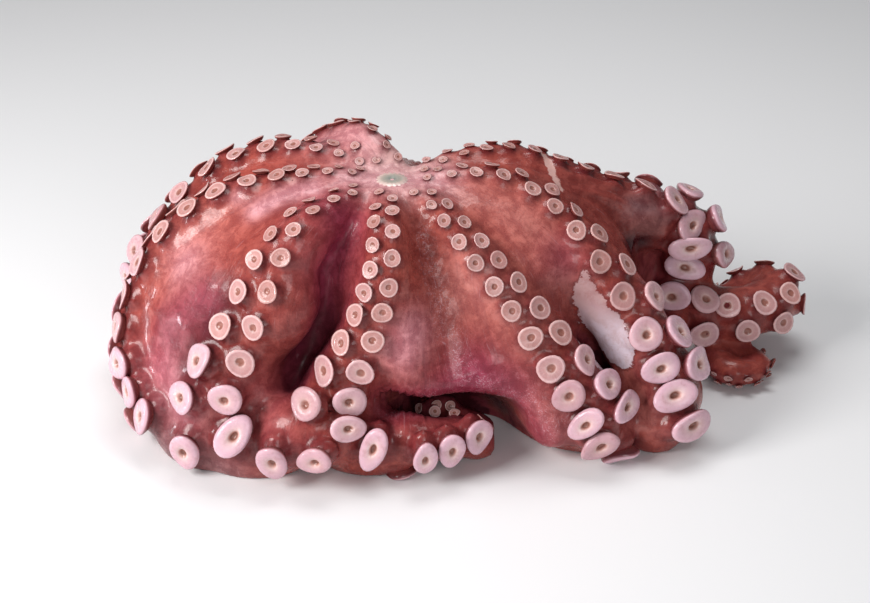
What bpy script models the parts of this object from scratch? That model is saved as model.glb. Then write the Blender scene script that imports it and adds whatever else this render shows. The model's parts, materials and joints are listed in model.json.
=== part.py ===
"""Whole raw octopus, lying on its mantle with the mouth up.

Eight arms leave the mouth, run outwards and bend down to the ground over the hidden mantle.
Each carries two rows of suckers along its outer side, and webs of skin hang between the arms.
Units are metres, +Z is up, and the origin is on the ground under the middle of the animal.
"""

import math

import bmesh
import bpy
import numpy as np
from mathutils import Matrix, Vector
from mathutils.bvhtree import BVHTree

# The mouth, and the point inside the mantle that the suckers face away from.
MOUTH = (-0.037, -0.016, 0.1255)
MANTLE_CORE = (-0.024, -0.013, 0.020)

# Every arm is drawn as the line between its two rows of suckers, from the mouth to its tip.
# "web" is how many of its points the skin between the arms follows, and "drop" is where that
# skin goes on down. "facing" turns the suckers at the numbered points; elsewhere they face
# away from the mantle's core. "suckers" gives their widths at some distances from the mouth,
# "spacing" how far apart they sit, "spread" how far the two rows stand apart, "lean" how
# far in degrees the large ones of each row turn outwards, "girth" the arm's radius at some
# distances, and "bare" which suckers are missing or pressed out of sight.
GIRTH = [
    (0.0, 0.006), (0.030, 0.0105), (0.070, 0.014), (0.130, 0.019), (0.210, 0.018), (0.320, 0.009),
]
ARMS = {
    "right_rear": {
        "route": [
            (-0.026, -0.016, 0.126), (-0.014, -0.006, 0.129), (0.021, 0.010, 0.128),
            (0.062, 0.017, 0.1105), (0.096, 0.025, 0.0955), (0.115, 0.026, 0.083),
            (0.122, 0.020, 0.068), (0.120, 0.014, 0.052), (0.115, 0.010, 0.040),
            (0.123, 0.005, 0.033), (0.140, 0.006, 0.032), (0.158, 0.011, 0.032),
            (0.174, 0.023, 0.033), (0.174, 0.040, 0.036), (0.159, 0.052, 0.035),
            (0.139, 0.049, 0.027), (0.126, 0.034, 0.018), (0.1225, 0.016, 0.010),
        ],
        "facing": {
            2: (0.2, 0.30, 0.9), 3: (0.3, 0.45, 0.8), 4: (0.3, 0.30, 0.85), 5: (0.4, -0.45, 0.7),
            6: (0.4, -0.8, 0.35), 7: (0.35, -0.85, 0.3), 8: (0.3, -0.9, 0.2),
            9: (0.0, -0.9, 0.25), 10: (0.1, -0.9, 0.4), 11: (0.5, -0.8, 0.35),
            12: (0.95, -0.1, 0.4), 13: (0.7, 0.6, 0.5), 14: (0.1, 0.8, 0.6),
            15: (-0.4, 0.7, 0.5), 16: (-0.8, 0.4, 0.3), 17: (-1.0, 0.0, 0.0),
        },
        "web": 5, "drop": [(0.106, 0.028, 0.070), (0.104, 0.028, 0.035)],
        "suckers": [
            (0.0, 0.0040), (0.015, 0.0048), (0.060, 0.0080), (0.110, 0.0110), (0.140, 0.0150),
            (0.160, 0.0215), (0.180, 0.0245), (0.200, 0.0200), (0.215, 0.0165), (0.240, 0.0130),
            (0.290, 0.0130), (0.330, 0.0100), (0.350, 0.0065), (0.400, 0.005), (0.500, 0.0035),
            (0.600, 0.0015),
        ],
        "spacing": 1.0, "spread": (1.0, 0.68), "lean": (12, 55),
        "bare": (27,),
        "girth": [
            (0.0, 0.006), (0.030, 0.010), (0.130, 0.0155), (0.200, 0.0155), (0.280, 0.0135),
            (0.345, 0.0100), (0.400, 0.0078), (0.500, 0.0050), (0.600, 0.0022),
        ],
    },
    "back_left": {
        "route": [
            (-0.037, -0.010, 0.127), (-0.037, -0.004, 0.133), (-0.042, 0.003, 0.1375),
            (-0.053, 0.014, 0.1385), (-0.068, 0.029, 0.129), (-0.083, 0.050, 0.106),
            (-0.093, 0.069, 0.074), (-0.096, 0.080, 0.042), (-0.091, 0.088, 0.018),
            (-0.072, 0.096, 0.011), (-0.047, 0.097, 0.010), (-0.023, 0.097, 0.009),
            (-0.003, 0.104, 0.008), (0.010, 0.102, 0.007), (0.014, 0.092, 0.006),
        ],
        "facing": {
            1: (0.3, 0.3, 0.9), 2: (0.1, 0.5, 0.8), 3: (-0.1, 0.5, 0.8),
            8: (-0.3, 0.8, 0.3), 9: (0.0, 1.0, 0.2), 10: (0.1, 1.0, 0.2), 11: (-0.1, 1.0, 0.2),
            12: (0.1, 1.0, 0.1), 13: (0.7, 0.7, 0.1), 14: (1.0, -0.2, 0.1),
        },
        "web": 9, "drop": [],
        "suckers": [
            (0.0, 0.0040), (0.015, 0.0048), (0.030, 0.0066), (0.060, 0.0095), (0.100, 0.013),
            (0.160, 0.020), (0.220, 0.016), (0.280, 0.008), (0.330, 0.003),
        ],
        "spacing": 1.0, "spread": (0.9, 0.9), "lean": (25, 25),
        "girth": GIRTH,
    },
    "left_rear": {
        "route": [
            (-0.043, -0.014, 0.126), (-0.057, -0.005, 0.1305), (-0.090, 0.006, 0.1315),
            (-0.123, 0.009, 0.1205), (-0.144, 0.010, 0.100), (-0.161, 0.009, 0.077),
            (-0.169, 0.013, 0.052), (-0.166, 0.021, 0.029), (-0.154, 0.037, 0.014),
            (-0.134, 0.052, 0.010), (-0.116, 0.064, 0.009), (-0.107, 0.080, 0.007),
            (-0.116, 0.090, 0.006),
        ],
        "facing": {
            2: (-0.15, 0.05, 1.0), 3: (-0.45, 0.05, 0.85),
            8: (-0.7, 0.6, 0.2), 9: (-0.5, 0.8, 0.2), 10: (-0.6, 0.6, 0.1), 11: (0.9, 0.4, 0.0),
            12: (0.4, 0.9, 0.0),
        },
        "web": 9, "drop": [],
        "suckers": [
            (0.0, 0.0040), (0.015, 0.0048), (0.030, 0.0066), (0.060, 0.0095), (0.100, 0.0125),
            (0.165, 0.019), (0.210, 0.015), (0.250, 0.009), (0.300, 0.003),
        ],
        "spacing": 1.0, "spread": (0.9, 0.9), "lean": (25, 25),
        "girth": [
            (0.0, 0.006), (0.030, 0.010), (0.130, 0.018), (0.190, 0.017), (0.250, 0.009),
            (0.300, 0.004),
        ],
    },
    "left_side": {
        "route": [
            (-0.046, -0.019, 0.126), (-0.060, -0.020, 0.129), (-0.080, -0.023, 0.129),
            (-0.113, -0.024, 0.123), (-0.138, -0.025, 0.108), (-0.158, -0.027, 0.084),
            (-0.168, -0.032, 0.058), (-0.168, -0.045, 0.036), (-0.158, -0.064, 0.019),
            (-0.144, -0.081, 0.012), (-0.125, -0.089, 0.010), (-0.105, -0.084, 0.010),
        ],
        "facing": {
            2: (-0.1, 0.0, 1.0), 6: (-1.0, -0.1, 0.2), 7: (-0.95, -0.2, 0.1),
            8: (-0.85, -0.5, 0.0), 9: (-0.55, -0.8, 0.1), 10: (0.0, -1.0, 0.1),
        },
        "web": 9, "drop": [],
        "suckers": [
            (0.0, 0.0040), (0.015, 0.0048), (0.030, 0.0066), (0.060, 0.0095), (0.110, 0.0125),
            (0.170, 0.018), (0.230, 0.0205), (0.300, 0.017),
        ],
        "spacing": 1.0, "spread": (0.9, 0.6), "lean": (20, 0),
        "bare": (28, 29, 30, 32, 33, 34),
        "girth": [(0.0, 0.006), (0.030, 0.010), (0.130, 0.018), (0.240, 0.018), (0.300, 0.013)],
    },
    "left_front": {
        "route": [
            (-0.048, -0.032, 0.126), (-0.062, -0.041, 0.127), (-0.082, -0.062, 0.123),
            (-0.093, -0.075, 0.107), (-0.100, -0.078, 0.089), (-0.109, -0.080, 0.071),
            (-0.119, -0.084, 0.052), (-0.125, -0.087, 0.035), (-0.121, -0.090, 0.020),
            (-0.106, -0.094, 0.011), (-0.081, -0.097, 0.010), (-0.056, -0.093, 0.010),
            (-0.034, -0.078, 0.010),
        ],
        "facing": {
            3: (-0.25, -0.8, 0.55), 5: (-0.3, -0.85, 0.4), 6: (-0.25, -0.9, 0.3),
            7: (-0.15, -0.95, 0.25), 8: (-0.15, -0.95, 0.3), 9: (-0.1, -0.95, 0.2),
            10: (0.0, -0.75, -0.65), 11: (0.1, -0.75, -0.65),
        },
        "web": 9, "drop": [],
        "suckers": [
            (0.0, 0.0040), (0.015, 0.0052), (0.030, 0.0072), (0.045, 0.0075), (0.061, 0.0090),
            (0.079, 0.0118), (0.107, 0.0132), (0.125, 0.0160), (0.145, 0.0190), (0.163, 0.0225),
            (0.180, 0.0235), (0.210, 0.0210), (0.260, 0.017), (0.330, 0.012),
        ],
        "spacing": 1.04, "spread": (1.0, 1.0), "lean": (50, 10),
        "bare": (19, 20, 22, 23, 24, 26, 27, 28, 29, 30, 31, 33, 35),
        "girth": [
            (0.0, 0.006), (0.030, 0.0115), (0.070, 0.016), (0.130, 0.0215), (0.200, 0.019),
            (0.320, 0.012),
        ],
    },
    "front": {
        "route": [
            (-0.039, -0.034, 0.126), (-0.040, -0.048, 0.125), (-0.040, -0.064, 0.119),
            (-0.041, -0.075, 0.103), (-0.045, -0.079, 0.088), (-0.051, -0.082, 0.072),
            (-0.059, -0.085, 0.055), (-0.065, -0.087, 0.038), (-0.063, -0.090, 0.021),
            (-0.048, -0.094, 0.012), (-0.025, -0.095, 0.010), (-0.005, -0.089, 0.011),
            (0.009, -0.077, 0.011), (0.004, -0.067, 0.012), (-0.009, -0.065, 0.015),
            (-0.021, -0.064, 0.019), (-0.016, -0.060, 0.025), (-0.004, -0.060, 0.023),
        ],
        "facing": {
            4: (-0.15, -0.85, 0.5), 5: (-0.2, -0.85, 0.45), 6: (-0.2, -0.9, 0.4),
            7: (-0.1, -0.95, 0.3), 8: (0.0, -0.95, 0.3), 9: (0.05, -0.95, 0.1),
            10: (0.1, -0.8, -0.6), 11: (0.5, -0.7, -0.5), 12: (0.9, -0.2, 0.1),
            13: (0.3, -0.9, 0.3), 14: (0.0, -0.9, 0.4), 15: (-0.5, -0.7, 0.4),
            16: (-0.2, -0.5, 0.8), 17: (0.0, -0.5, 0.8),
        },
        "web": 9, "drop": [],
        "suckers": [
            (0.0, 0.0042), (0.015, 0.0064), (0.040, 0.0080), (0.060, 0.0092), (0.077, 0.0108),
            (0.095, 0.0130), (0.111, 0.0150), (0.125, 0.0172), (0.137, 0.0195), (0.150, 0.0225),
            (0.175, 0.0225), (0.212, 0.0178), (0.232, 0.0065), (0.300, 0.0045),
        ],
        "spacing": 0.88, "spread": (0.9, 1.0), "lean": (50, 8),
        "bare": (21, 22, 24, 25, 26, 28, 30, 32, 34),
        "girth": [
            (0.0, 0.006), (0.030, 0.0105), (0.070, 0.014), (0.130, 0.019), (0.160, 0.0165),
            (0.195, 0.0108), (0.226, 0.0088), (0.250, 0.0062), (0.275, 0.0045), (0.300, 0.0030),
        ],
    },
    "right_front": {
        "route": [
            (-0.027, -0.032, 0.126), (-0.017, -0.041, 0.124), (-0.001, -0.055, 0.110),
            (0.017, -0.064, 0.090), (0.0365, -0.070, 0.064), (0.0545, -0.076, 0.040),
            (0.067, -0.081, 0.024), (0.074, -0.079, 0.013), (0.079, -0.065, 0.009),
            (0.079, -0.048, 0.009),
        ],
        "facing": {
            2: (0.15, -0.7, 0.7), 3: (0.3, -0.8, 0.5), 4: (0.35, -0.85, 0.4), 5: (0.3, -0.9, 0.35),
            6: (0.3, -0.9, 0.2), 7: (0.4, -0.85, -0.2), 8: (0.8, -0.5, -0.1),
        },
        "web": 7, "drop": [],
        "suckers": [
            (0.0, 0.0040), (0.015, 0.0055), (0.044, 0.0085), (0.060, 0.0095), (0.080, 0.0112),
            (0.100, 0.0132), (0.114, 0.0150), (0.128, 0.0182), (0.144, 0.0225), (0.180, 0.0220),
            (0.230, 0.020),
        ],
        "spacing": 0.92, "spread": (0.85, 0.85), "lean": (12, 52),
        "bare": (23,),
        "girth": [(0.0, 0.006), (0.030, 0.0105), (0.070, 0.014), (0.130, 0.0175), (0.230, 0.014)],
    },
    "right_side": {
        "route": [
            (-0.026, -0.023, 0.126), (-0.014, -0.021, 0.128), (0.015, -0.018, 0.127),
            (0.040, -0.025, 0.116), (0.061, -0.038, 0.097), (0.083, -0.049, 0.070),
            (0.099, -0.060, 0.043), (0.107, -0.066, 0.026), (0.1095, -0.065, 0.014),
            (0.1085, -0.051, 0.009), (0.102, -0.038, 0.009),
        ],
        "facing": {
            3: (0.3, -0.25, 0.9), 4: (0.4, -0.5, 0.7), 5: (0.5, -0.75, 0.4), 6: (0.5, -0.8, 0.25),
            7: (0.5, -0.85, 0.1), 8: (0.8, -0.6, 0.0), 9: (1.0, 0.1, 0.0),
        },
        "web": 8, "drop": [],
        "suckers": [
            (0.0, 0.0040), (0.015, 0.0052), (0.040, 0.0080), (0.083, 0.0090), (0.099, 0.0110),
            (0.113, 0.0120), (0.129, 0.0148), (0.149, 0.0182), (0.171, 0.0228), (0.195, 0.0225),
            (0.260, 0.019),
        ],
        "spacing": 1.1, "spread": (0.8, 0.8), "lean": (8, 50),
        "bare": (23, 25, 26, 27),
        "girth": GIRTH,
    },
}

# The skin between two arms follows lines of its own, from the mouth down to the ground:
# shallow troughs, deep folds, full bulges, and at the front a hem that stands off the ground.
FOLDS = {
    "rear_right": [
        (-0.028, -0.009, 0.125), (0.006, 0.020, 0.116), (0.044, 0.040, 0.096),
        (0.076, 0.052, 0.064), (0.090, 0.054, 0.030), (0.090, 0.048, 0.010),
    ],
    "rear_middle": [
        (-0.032, -0.007, 0.124), (-0.012, 0.016, 0.110), (-0.002, 0.040, 0.101),
        (0.010, 0.064, 0.080), (0.022, 0.082, 0.052), (0.028, 0.090, 0.030),
        (0.026, 0.080, 0.014),
    ],
    "rear_left": [
        (-0.035, -0.007, 0.125), (-0.029, 0.012, 0.115), (-0.034, 0.038, 0.108),
        (-0.038, 0.062, 0.088), (-0.042, 0.080, 0.058), (-0.044, 0.088, 0.032),
        (-0.044, 0.080, 0.014),
    ],
    "rear_trough": [
        (-0.041, -0.010, 0.126), (-0.058, 0.002, 0.131), (-0.082, 0.020, 0.124),
        (-0.108, 0.034, 0.106), (-0.126, 0.042, 0.080), (-0.134, 0.046, 0.048),
        (-0.134, 0.048, 0.020),
    ],
    "left_trough": [
        (-0.045, -0.017, 0.126), (-0.068, -0.010, 0.127), (-0.102, -0.008, 0.122),
        (-0.132, -0.008, 0.106), (-0.151, -0.008, 0.080), (-0.158, -0.007, 0.054),
        (-0.157, -0.004, 0.024),
    ],
    "left_bulge": [
        (-0.047, -0.024, 0.126), (-0.068, -0.029, 0.125), (-0.098, -0.038, 0.118),
        (-0.124, -0.048, 0.101), (-0.141, -0.056, 0.078), (-0.148, -0.061, 0.052),
        (-0.146, -0.066, 0.028), (-0.138, -0.068, 0.012),
    ],
    "left_crease": [
        (-0.048, -0.028, 0.126), (-0.068, -0.041, 0.123), (-0.092, -0.058, 0.115),
        (-0.110, -0.067, 0.096), (-0.123, -0.073, 0.072), (-0.130, -0.076, 0.048),
        (-0.129, -0.078, 0.026), (-0.120, -0.078, 0.010),
    ],
    "front_flank": [
        (-0.047, -0.033, 0.126), (-0.061, -0.045, 0.123), (-0.075, -0.061, 0.114),
        (-0.084, -0.071, 0.096), (-0.092, -0.074, 0.074), (-0.096, -0.078, 0.052),
        (-0.095, -0.083, 0.030), (-0.090, -0.084, 0.012),
    ],
    "front_valley": [
        (-0.045, -0.033, 0.126), (-0.055, -0.043, 0.118), (-0.064, -0.051, 0.105),
        (-0.070, -0.055, 0.086), (-0.074, -0.055, 0.064), (-0.078, -0.057, 0.040),
        (-0.081, -0.064, 0.018),
    ],
    "front_bulge": [
        (-0.036, -0.033, 0.126), (-0.032, -0.048, 0.119), (-0.031, -0.064, 0.106),
        (-0.030, -0.076, 0.087), (-0.030, -0.082, 0.067), (-0.029, -0.085, 0.050),
        (-0.028, -0.081, 0.039), (-0.026, -0.060, 0.034), (-0.024, -0.042, 0.010),
    ],
    "front_crease": [
        (-0.031, -0.032, 0.126), (-0.024, -0.048, 0.113), (-0.018, -0.058, 0.097),
        (-0.013, -0.065, 0.078), (-0.008, -0.073, 0.058), (-0.003, -0.080, 0.043),
        (-0.001, -0.073, 0.036), (0.000, -0.052, 0.030), (0.000, -0.038, 0.010),
    ],
    "front_hem": [
        (-0.027, -0.032, 0.126), (-0.010, -0.050, 0.112), (0.002, -0.061, 0.092),
        (0.011, -0.069, 0.070), (0.016, -0.077, 0.050), (0.018, -0.077, 0.037),
        (0.018, -0.058, 0.025), (0.017, -0.042, 0.008),
    ],
    "right_hem": [
        (-0.0275, -0.032, 0.126), (-0.013, -0.046, 0.118), (0.008, -0.062, 0.098),
        (0.025, -0.069, 0.072), (0.034, -0.076, 0.046), (0.037, -0.084, 0.023),
        (0.038, -0.081, 0.008), (0.038, -0.066, 0.005),
    ],
    "right_cavity": [
        (-0.026, -0.028, 0.126), (-0.002, -0.033, 0.121), (0.021, -0.041, 0.111),
        (0.041, -0.048, 0.094), (0.053, -0.041, 0.070), (0.059, -0.035, 0.044),
        (0.063, -0.033, 0.018),
    ],
    "right_curtain": [
        (-0.025, -0.019, 0.126), (0.000, -0.010, 0.126), (0.030, -0.003, 0.121),
        (0.058, 0.002, 0.106), (0.080, 0.008, 0.084), (0.088, 0.011, 0.058),
        (0.090, 0.012, 0.026),
    ],
}

# The order in which arms and folds follow each other round the mouth, seen from above.
ROUND = (
    "right_rear", "rear_right", "rear_middle", "rear_left", "back_left", "rear_trough",
    "left_rear", "left_trough", "left_side", "left_bulge", "left_crease", "left_front",
    "front_flank", "front_valley", "front", "front_bulge", "front_crease", "front_hem",
    "right_hem", "right_front", "right_cavity", "right_side", "right_curtain",
)

# The flat spiral at the tip of the rear right arm.
COIL_CENTRE = (0.143, 0.001)
COIL_OUTER = 0.0195
COIL_INNER = 0.0035
COIL_TURNS = 1.6
COIL_HEIGHT = 0.0075

ARM_STEP = 0.006
RING_COUNT = 20
SLICES_PER_FOLD = 4
UNDERSIDE = -0.006
SKIN_VOXEL = 0.0028
SKIN_TRIANGLES = 3400
SMALLEST_SUCKER = 0.0128
SUCKER_SIDES = 8
FULL_LEAN = 0.018
SKIN_SHARE = 0.8
GROUND_REACH = 0.019
GROUND_TILT = 0.75

# The finished animal is moved by this, which puts the middle of its box over the origin.
TO_CENTRE = (-0.003, 0.0025, 0.0)
GAPS = [
    # width of a sucker, distance to the next one
    (0.0030, 0.0028), (0.0040, 0.0055), (0.0085, 0.0068), (0.0130, 0.0098), (0.0160, 0.0094),
    (0.0190, 0.0080), (0.0225, 0.0072),
]


def clear_scene():
    for item in list(bpy.data.objects):
        bpy.data.objects.remove(item, do_unlink=True)


def new_collection(name):
    collection = bpy.data.collections.new(name)
    bpy.context.scene.collection.children.link(collection)
    return collection


def unit(vectors):
    return vectors / np.linalg.norm(vectors, axis=-1, keepdims=True)


def distances(points):
    """How far along the line of points each one lies."""
    gaps = np.linalg.norm(np.diff(points, axis=0), axis=1)
    return np.concatenate([[0.0], np.cumsum(gaps)])


def smooth_line(points, values=None, step=0.001):
    """A smooth curve through the points in fine even steps, and values that go along with it."""
    points = np.array(points, float)
    gaps = np.linalg.norm(np.diff(points, axis=0), axis=1)
    knots = np.concatenate([[0.0], np.cumsum(np.sqrt(gaps))])
    slopes = np.gradient(points, knots, axis=0)
    fine = np.linspace(0.0, knots[-1], 40 * len(points))
    span = np.clip(np.searchsorted(knots, fine, side="right") - 1, 0, len(points) - 2)
    width = knots[span + 1] - knots[span]
    u = ((fine - knots[span]) / width)[:, None]
    width = width[:, None]
    curve = (
        (2 * u**3 - 3 * u**2 + 1) * points[span]
        + (u**3 - 2 * u**2 + u) * width * slopes[span]
        + (3 * u**2 - 2 * u**3) * points[span + 1]
        + (u**3 - u**2) * width * slopes[span + 1]
    )
    along = distances(curve)
    even = np.linspace(0.0, along[-1], max(2, round(along[-1] / step) + 1))
    line = np.stack([np.interp(even, along, curve[:, axis]) for axis in range(3)], axis=1)
    if values is None:
        return line
    places = np.interp(even, along, fine)
    carried = [np.interp(places, knots, values[:, axis]) for axis in range(3)]
    return line, np.stack(carried, axis=1)


def coil_points():
    """The tip's spiral on the ground, anticlockwise from its left side, seen from above."""
    count = round(COIL_TURNS * 14)
    points = []
    for index in range(1, count + 1):
        share = index / count
        angle = math.pi + share * COIL_TURNS * 2 * math.pi
        radius = COIL_OUTER + (COIL_INNER - COIL_OUTER) * share**1.3
        x = COIL_CENTRE[0] + radius * math.cos(angle)
        y = COIL_CENTRE[1] + radius * math.sin(angle)
        points.append((x, y, COIL_HEIGHT))
    return points


def arm_line(name):
    """The line between the sucker rows in even steps, with the way that the suckers face."""
    arm = ARMS[name]
    route = list(arm["route"])
    facing = unit(np.array(route) - MANTLE_CORE)
    for index, direction in arm["facing"].items():
        facing[index] = unit(np.array(direction, float))
    if name == "right_rear":
        coil = coil_points()
        outwards = np.array(coil) - (*COIL_CENTRE, COIL_HEIGHT)
        route += coil
        facing = np.concatenate([facing, unit(outwards)])
    line, facing = smooth_line(route, facing, ARM_STEP / 3)
    along = np.gradient(line, axis=0)
    along = unit(along)
    facing = unit(facing - along * np.sum(facing * along, axis=1, keepdims=True))
    return line, along, facing


def along_arm(name, kind, places):
    """The arm's girth, or its suckers' width, at the given distances from its root."""
    knots, values = zip(*ARMS[name][kind])
    return np.interp(places, knots, values)


def make_arm(name, collection):
    """A tube of changing radius just under the sucker line, made a mesh with welded caps."""
    line, _, facing = arm_line(name)
    places = distances(line)
    radius = along_arm(name, "girth", places)
    centre = line - facing * radius[:, None]
    chosen = list(range(0, len(line), 3))
    data = bpy.data.curves.new(name, "CURVE")
    data.dimensions = "3D"
    data.bevel_depth = 1.0
    data.bevel_resolution = 4
    data.use_fill_caps = True
    spline = data.splines.new("POLY")
    spline.points.add(len(chosen) - 1)
    for point, index in zip(spline.points, chosen):
        point.co = (*centre[index], 1.0)
        point.radius = radius[index]
    curve = bpy.data.objects.new(name + "_curve", data)
    collection.objects.link(curve)
    graph = bpy.context.evaluated_depsgraph_get()
    mesh = bpy.data.meshes.new_from_object(curve.evaluated_get(graph))
    shape = bmesh.new()
    shape.from_mesh(mesh)
    bmesh.ops.remove_doubles(shape, verts=shape.verts, dist=0.00001)
    shape.to_mesh(mesh)
    shape.free()
    tube = bpy.data.objects.new(name, mesh)
    tube.matrix_world = curve.matrix_world
    collection.objects.link(tube)
    bpy.data.objects.remove(curve, do_unlink=True)
    return tube


def web_column(name):
    """One line of the skin from the mouth to the ground, in RING_COUNT even points."""
    if name in FOLDS:
        points = list(FOLDS[name])
    else:
        arm = ARMS[name]
        line, _, facing = arm_line(name)
        last = np.array(arm["route"][arm["web"] - 1])
        end = int(np.argmin(np.linalg.norm(line - last, axis=1)))
        depth = np.linspace(0.001, 0.010, end + 1)[:, None]
        points = [tuple(point) for point in (line[: end + 1] - facing[: end + 1] * depth)[::5]]
        points += arm["drop"]
    x, y, _ = points[-1]
    inwards = 0.93
    points.append((x * inwards, y * inwards, UNDERSIDE))
    line = smooth_line(points)
    chosen = np.linspace(0, len(line) - 1, RING_COUNT).round().astype(int)
    return line[chosen]


def round_trip(ring):
    """A closed smooth curve through the points of one ring, SLICES_PER_FOLD for each gap."""
    before = np.roll(ring, 1, axis=0)
    after = np.roll(ring, -1, axis=0)
    beyond = np.roll(ring, -2, axis=0)
    rows = []
    for index in range(SLICES_PER_FOLD):
        u = index / SLICES_PER_FOLD
        rows.append(
            0.5
            * (
                2 * ring
                + (after - before) * u
                + (2 * before - 5 * ring + 4 * after - beyond) * u**2
                + (3 * ring - before - 3 * after + beyond) * u**3
            )
        )
    return np.stack(rows, axis=1).reshape(-1, 3)


def make_web(collection):
    """The skin between the arms: rings lofted through all arms and folds, closed below."""
    columns = np.stack([web_column(name) for name in ROUND])
    rings = [round_trip(columns[:, level]) for level in range(RING_COUNT)]
    shape = bmesh.new()
    rows = [[shape.verts.new(point) for point in ring] for ring in rings]
    count = len(rows[0])
    for upper, lower in zip(rows, rows[1:]):
        for index in range(count):
            after = (index + 1) % count
            shape.faces.new((upper[index], lower[index], lower[after], upper[after]))
    top = shape.verts.new(MOUTH)
    floor = shape.verts.new((-0.02, -0.01, UNDERSIDE))
    for index in range(count):
        after = (index + 1) % count
        shape.faces.new((top, rows[0][index], rows[0][after]))
        shape.faces.new((floor, rows[-1][after], rows[-1][index]))
    bmesh.ops.recalc_face_normals(shape, faces=shape.faces)
    mesh = bpy.data.meshes.new("web")
    shape.to_mesh(mesh)
    shape.free()
    web = bpy.data.objects.new("web", mesh)
    collection.objects.link(web)
    return web


def apply_modifier(item, modifier):
    with bpy.context.temp_override(object=item, active_object=item):
        bpy.ops.object.modifier_apply(modifier=modifier.name)


def make_skin(collection):
    """Arms and web grown together into one skin."""
    pieces = [make_web(collection)]
    pieces += [make_arm(name, collection) for name in ARMS]
    skin = pieces[0]
    with bpy.context.temp_override(
        object=skin, active_object=skin, selected_objects=pieces, selected_editable_objects=pieces
    ):
        bpy.ops.object.join()
    skin.name = "octopus"
    skin.data.name = "octopus"
    remesh = skin.modifiers.new("grow_together", "REMESH")
    remesh.mode = "VOXEL"
    remesh.voxel_size = SKIN_VOXEL
    apply_modifier(skin, remesh)
    soften = skin.modifiers.new("soften", "SMOOTH")
    soften.factor = 0.5
    soften.iterations = 5
    apply_modifier(skin, soften)
    thin = skin.modifiers.new("thin_out", "DECIMATE")
    thin.ratio = SKIN_TRIANGLES / sum(len(face.vertices) - 2 for face in skin.data.polygons)
    apply_modifier(skin, thin)
    return skin


def row_offset(width, radius):
    """How far a sucker's middle stands from the line between the two rows."""
    return min(0.0012 + 0.42 * width, 0.0045 + 0.19 * width, 0.8 * radius)


def sucker_places(name):
    """Where the suckers sit, left and right of the arm's line by turns.

    They stand closer together than they are wide on the thick stretch of an arm, so there they
    are squeezed along it.
    """
    line, along, facing = arm_line(name)
    places = distances(line)
    side = np.cross(along, facing)
    found = []
    place = 0.004
    row = 1
    while place < places[-1] - 0.003:
        width = float(along_arm(name, "suckers", place))
        radius = float(along_arm(name, "girth", place))
        gap = ARMS[name]["spacing"] * float(np.interp(width, *zip(*GAPS)))
        index = int(np.searchsorted(places, place))
        offset = row * row_offset(width, radius) * ARMS[name]["spread"][row < 0]
        lean = row * math.radians(ARMS[name]["lean"][row < 0]) * min(1.0, width / FULL_LEAN) ** 2
        outwards = facing[index] * math.cos(lean) + side[index] * math.sin(lean)
        above = line[index] + side[index] * offset + facing[index] * 0.012
        squeeze = min(1.0, 1.95 * gap / width)
        found.append((above, facing[index], outwards, along[index], width, squeeze))
        place += gap
        row = -row
    return found


def make_sucker(name, place, outwards, along, width, squeeze, collection):
    """A short stalk that widens to a flat rim."""
    shape = bmesh.new()
    bmesh.ops.create_cone(
        shape, cap_ends=True, segments=SUCKER_SIDES,
        radius1=0.40 * width, radius2=0.5 * width, depth=0.40 * width,
    )
    bmesh.ops.scale(shape, vec=(squeeze, 1.0, 1.0), verts=shape.verts)
    mesh = bpy.data.meshes.new(name)
    shape.to_mesh(mesh)
    shape.free()
    sucker = bpy.data.objects.new(name, mesh)
    axis = Vector(outwards).normalized()
    across = axis.cross(Vector(along)).normalized()
    turn = Matrix((across.cross(axis), across, axis)).transposed()
    sucker.matrix_world = Matrix.Translation(place) @ turn.to_4x4()
    collection.objects.link(sucker)
    return sucker


def add_suckers(skin, cutters):
    """The suckers that are wide enough to matter for the solid are joined to the skin."""
    tree = BVHTree.FromPolygons(
        [vertex.co for vertex in skin.data.vertices],
        [face.vertices for face in skin.data.polygons],
    )
    for name in ARMS:
        for number, place in enumerate(sucker_places(name)):
            above, facing, outwards, along, width, squeeze = place
            if width < SMALLEST_SUCKER or number in ARMS[name].get("bare", ()):
                continue
            hit, normal, _, _ = tree.ray_cast(Vector(above), -Vector(facing), 0.030)
            if hit is None:
                continue
            outwards = (Vector(outwards) + SKIN_SHARE * normal).normalized()
            outwards.z -= GROUND_TILT * min(1.0, max(0.0, (GROUND_REACH - hit.z) / 0.010))
            outwards.normalize()
            lowest = 0.5 * width * math.sqrt(max(0.0, 1 - outwards.z**2))
            spot = hit + outwards * 0.05 * width
            spot.z = max(spot.z, lowest * 0.98 + 0.001)
            label = f"{name}_sucker_{number}"
            make_sucker(label, spot, outwards, along, width, squeeze, cutters)
    union = skin.modifiers.new("suckers", "BOOLEAN")
    union.operation = "UNION"
    union.solver = "EXACT"
    union.operand_type = "COLLECTION"
    union.collection = cutters


def cut_flat(skin, cutters):
    """Everything below the ground is cut away, so that the animal rests flat."""
    shape = bmesh.new()
    bmesh.ops.create_cube(shape, size=1.0)
    mesh = bpy.data.meshes.new("ground")
    shape.to_mesh(mesh)
    shape.free()
    ground = bpy.data.objects.new("ground", mesh)
    ground.scale = (0.6, 0.6, 0.1)
    ground.location = (0.0, 0.0, -0.05)
    cutters.objects.link(ground)
    cut = skin.modifiers.new("flat_base", "BOOLEAN")
    cut.operation = "DIFFERENCE"
    cut.solver = "EXACT"
    cut.object = ground
    ground.hide_render = True
    ground.display_type = "WIRE"


def skin_material():
    material = bpy.data.materials.new("octopus_skin")
    material.use_nodes = True
    shader = material.node_tree.nodes["Principled BSDF"]
    shader.inputs["Base Color"].default_value = (0.27, 0.085, 0.070, 1.0)
    shader.inputs["Roughness"].default_value = 0.28
    shader.inputs["Metallic"].default_value = 0.0
    return material


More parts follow.
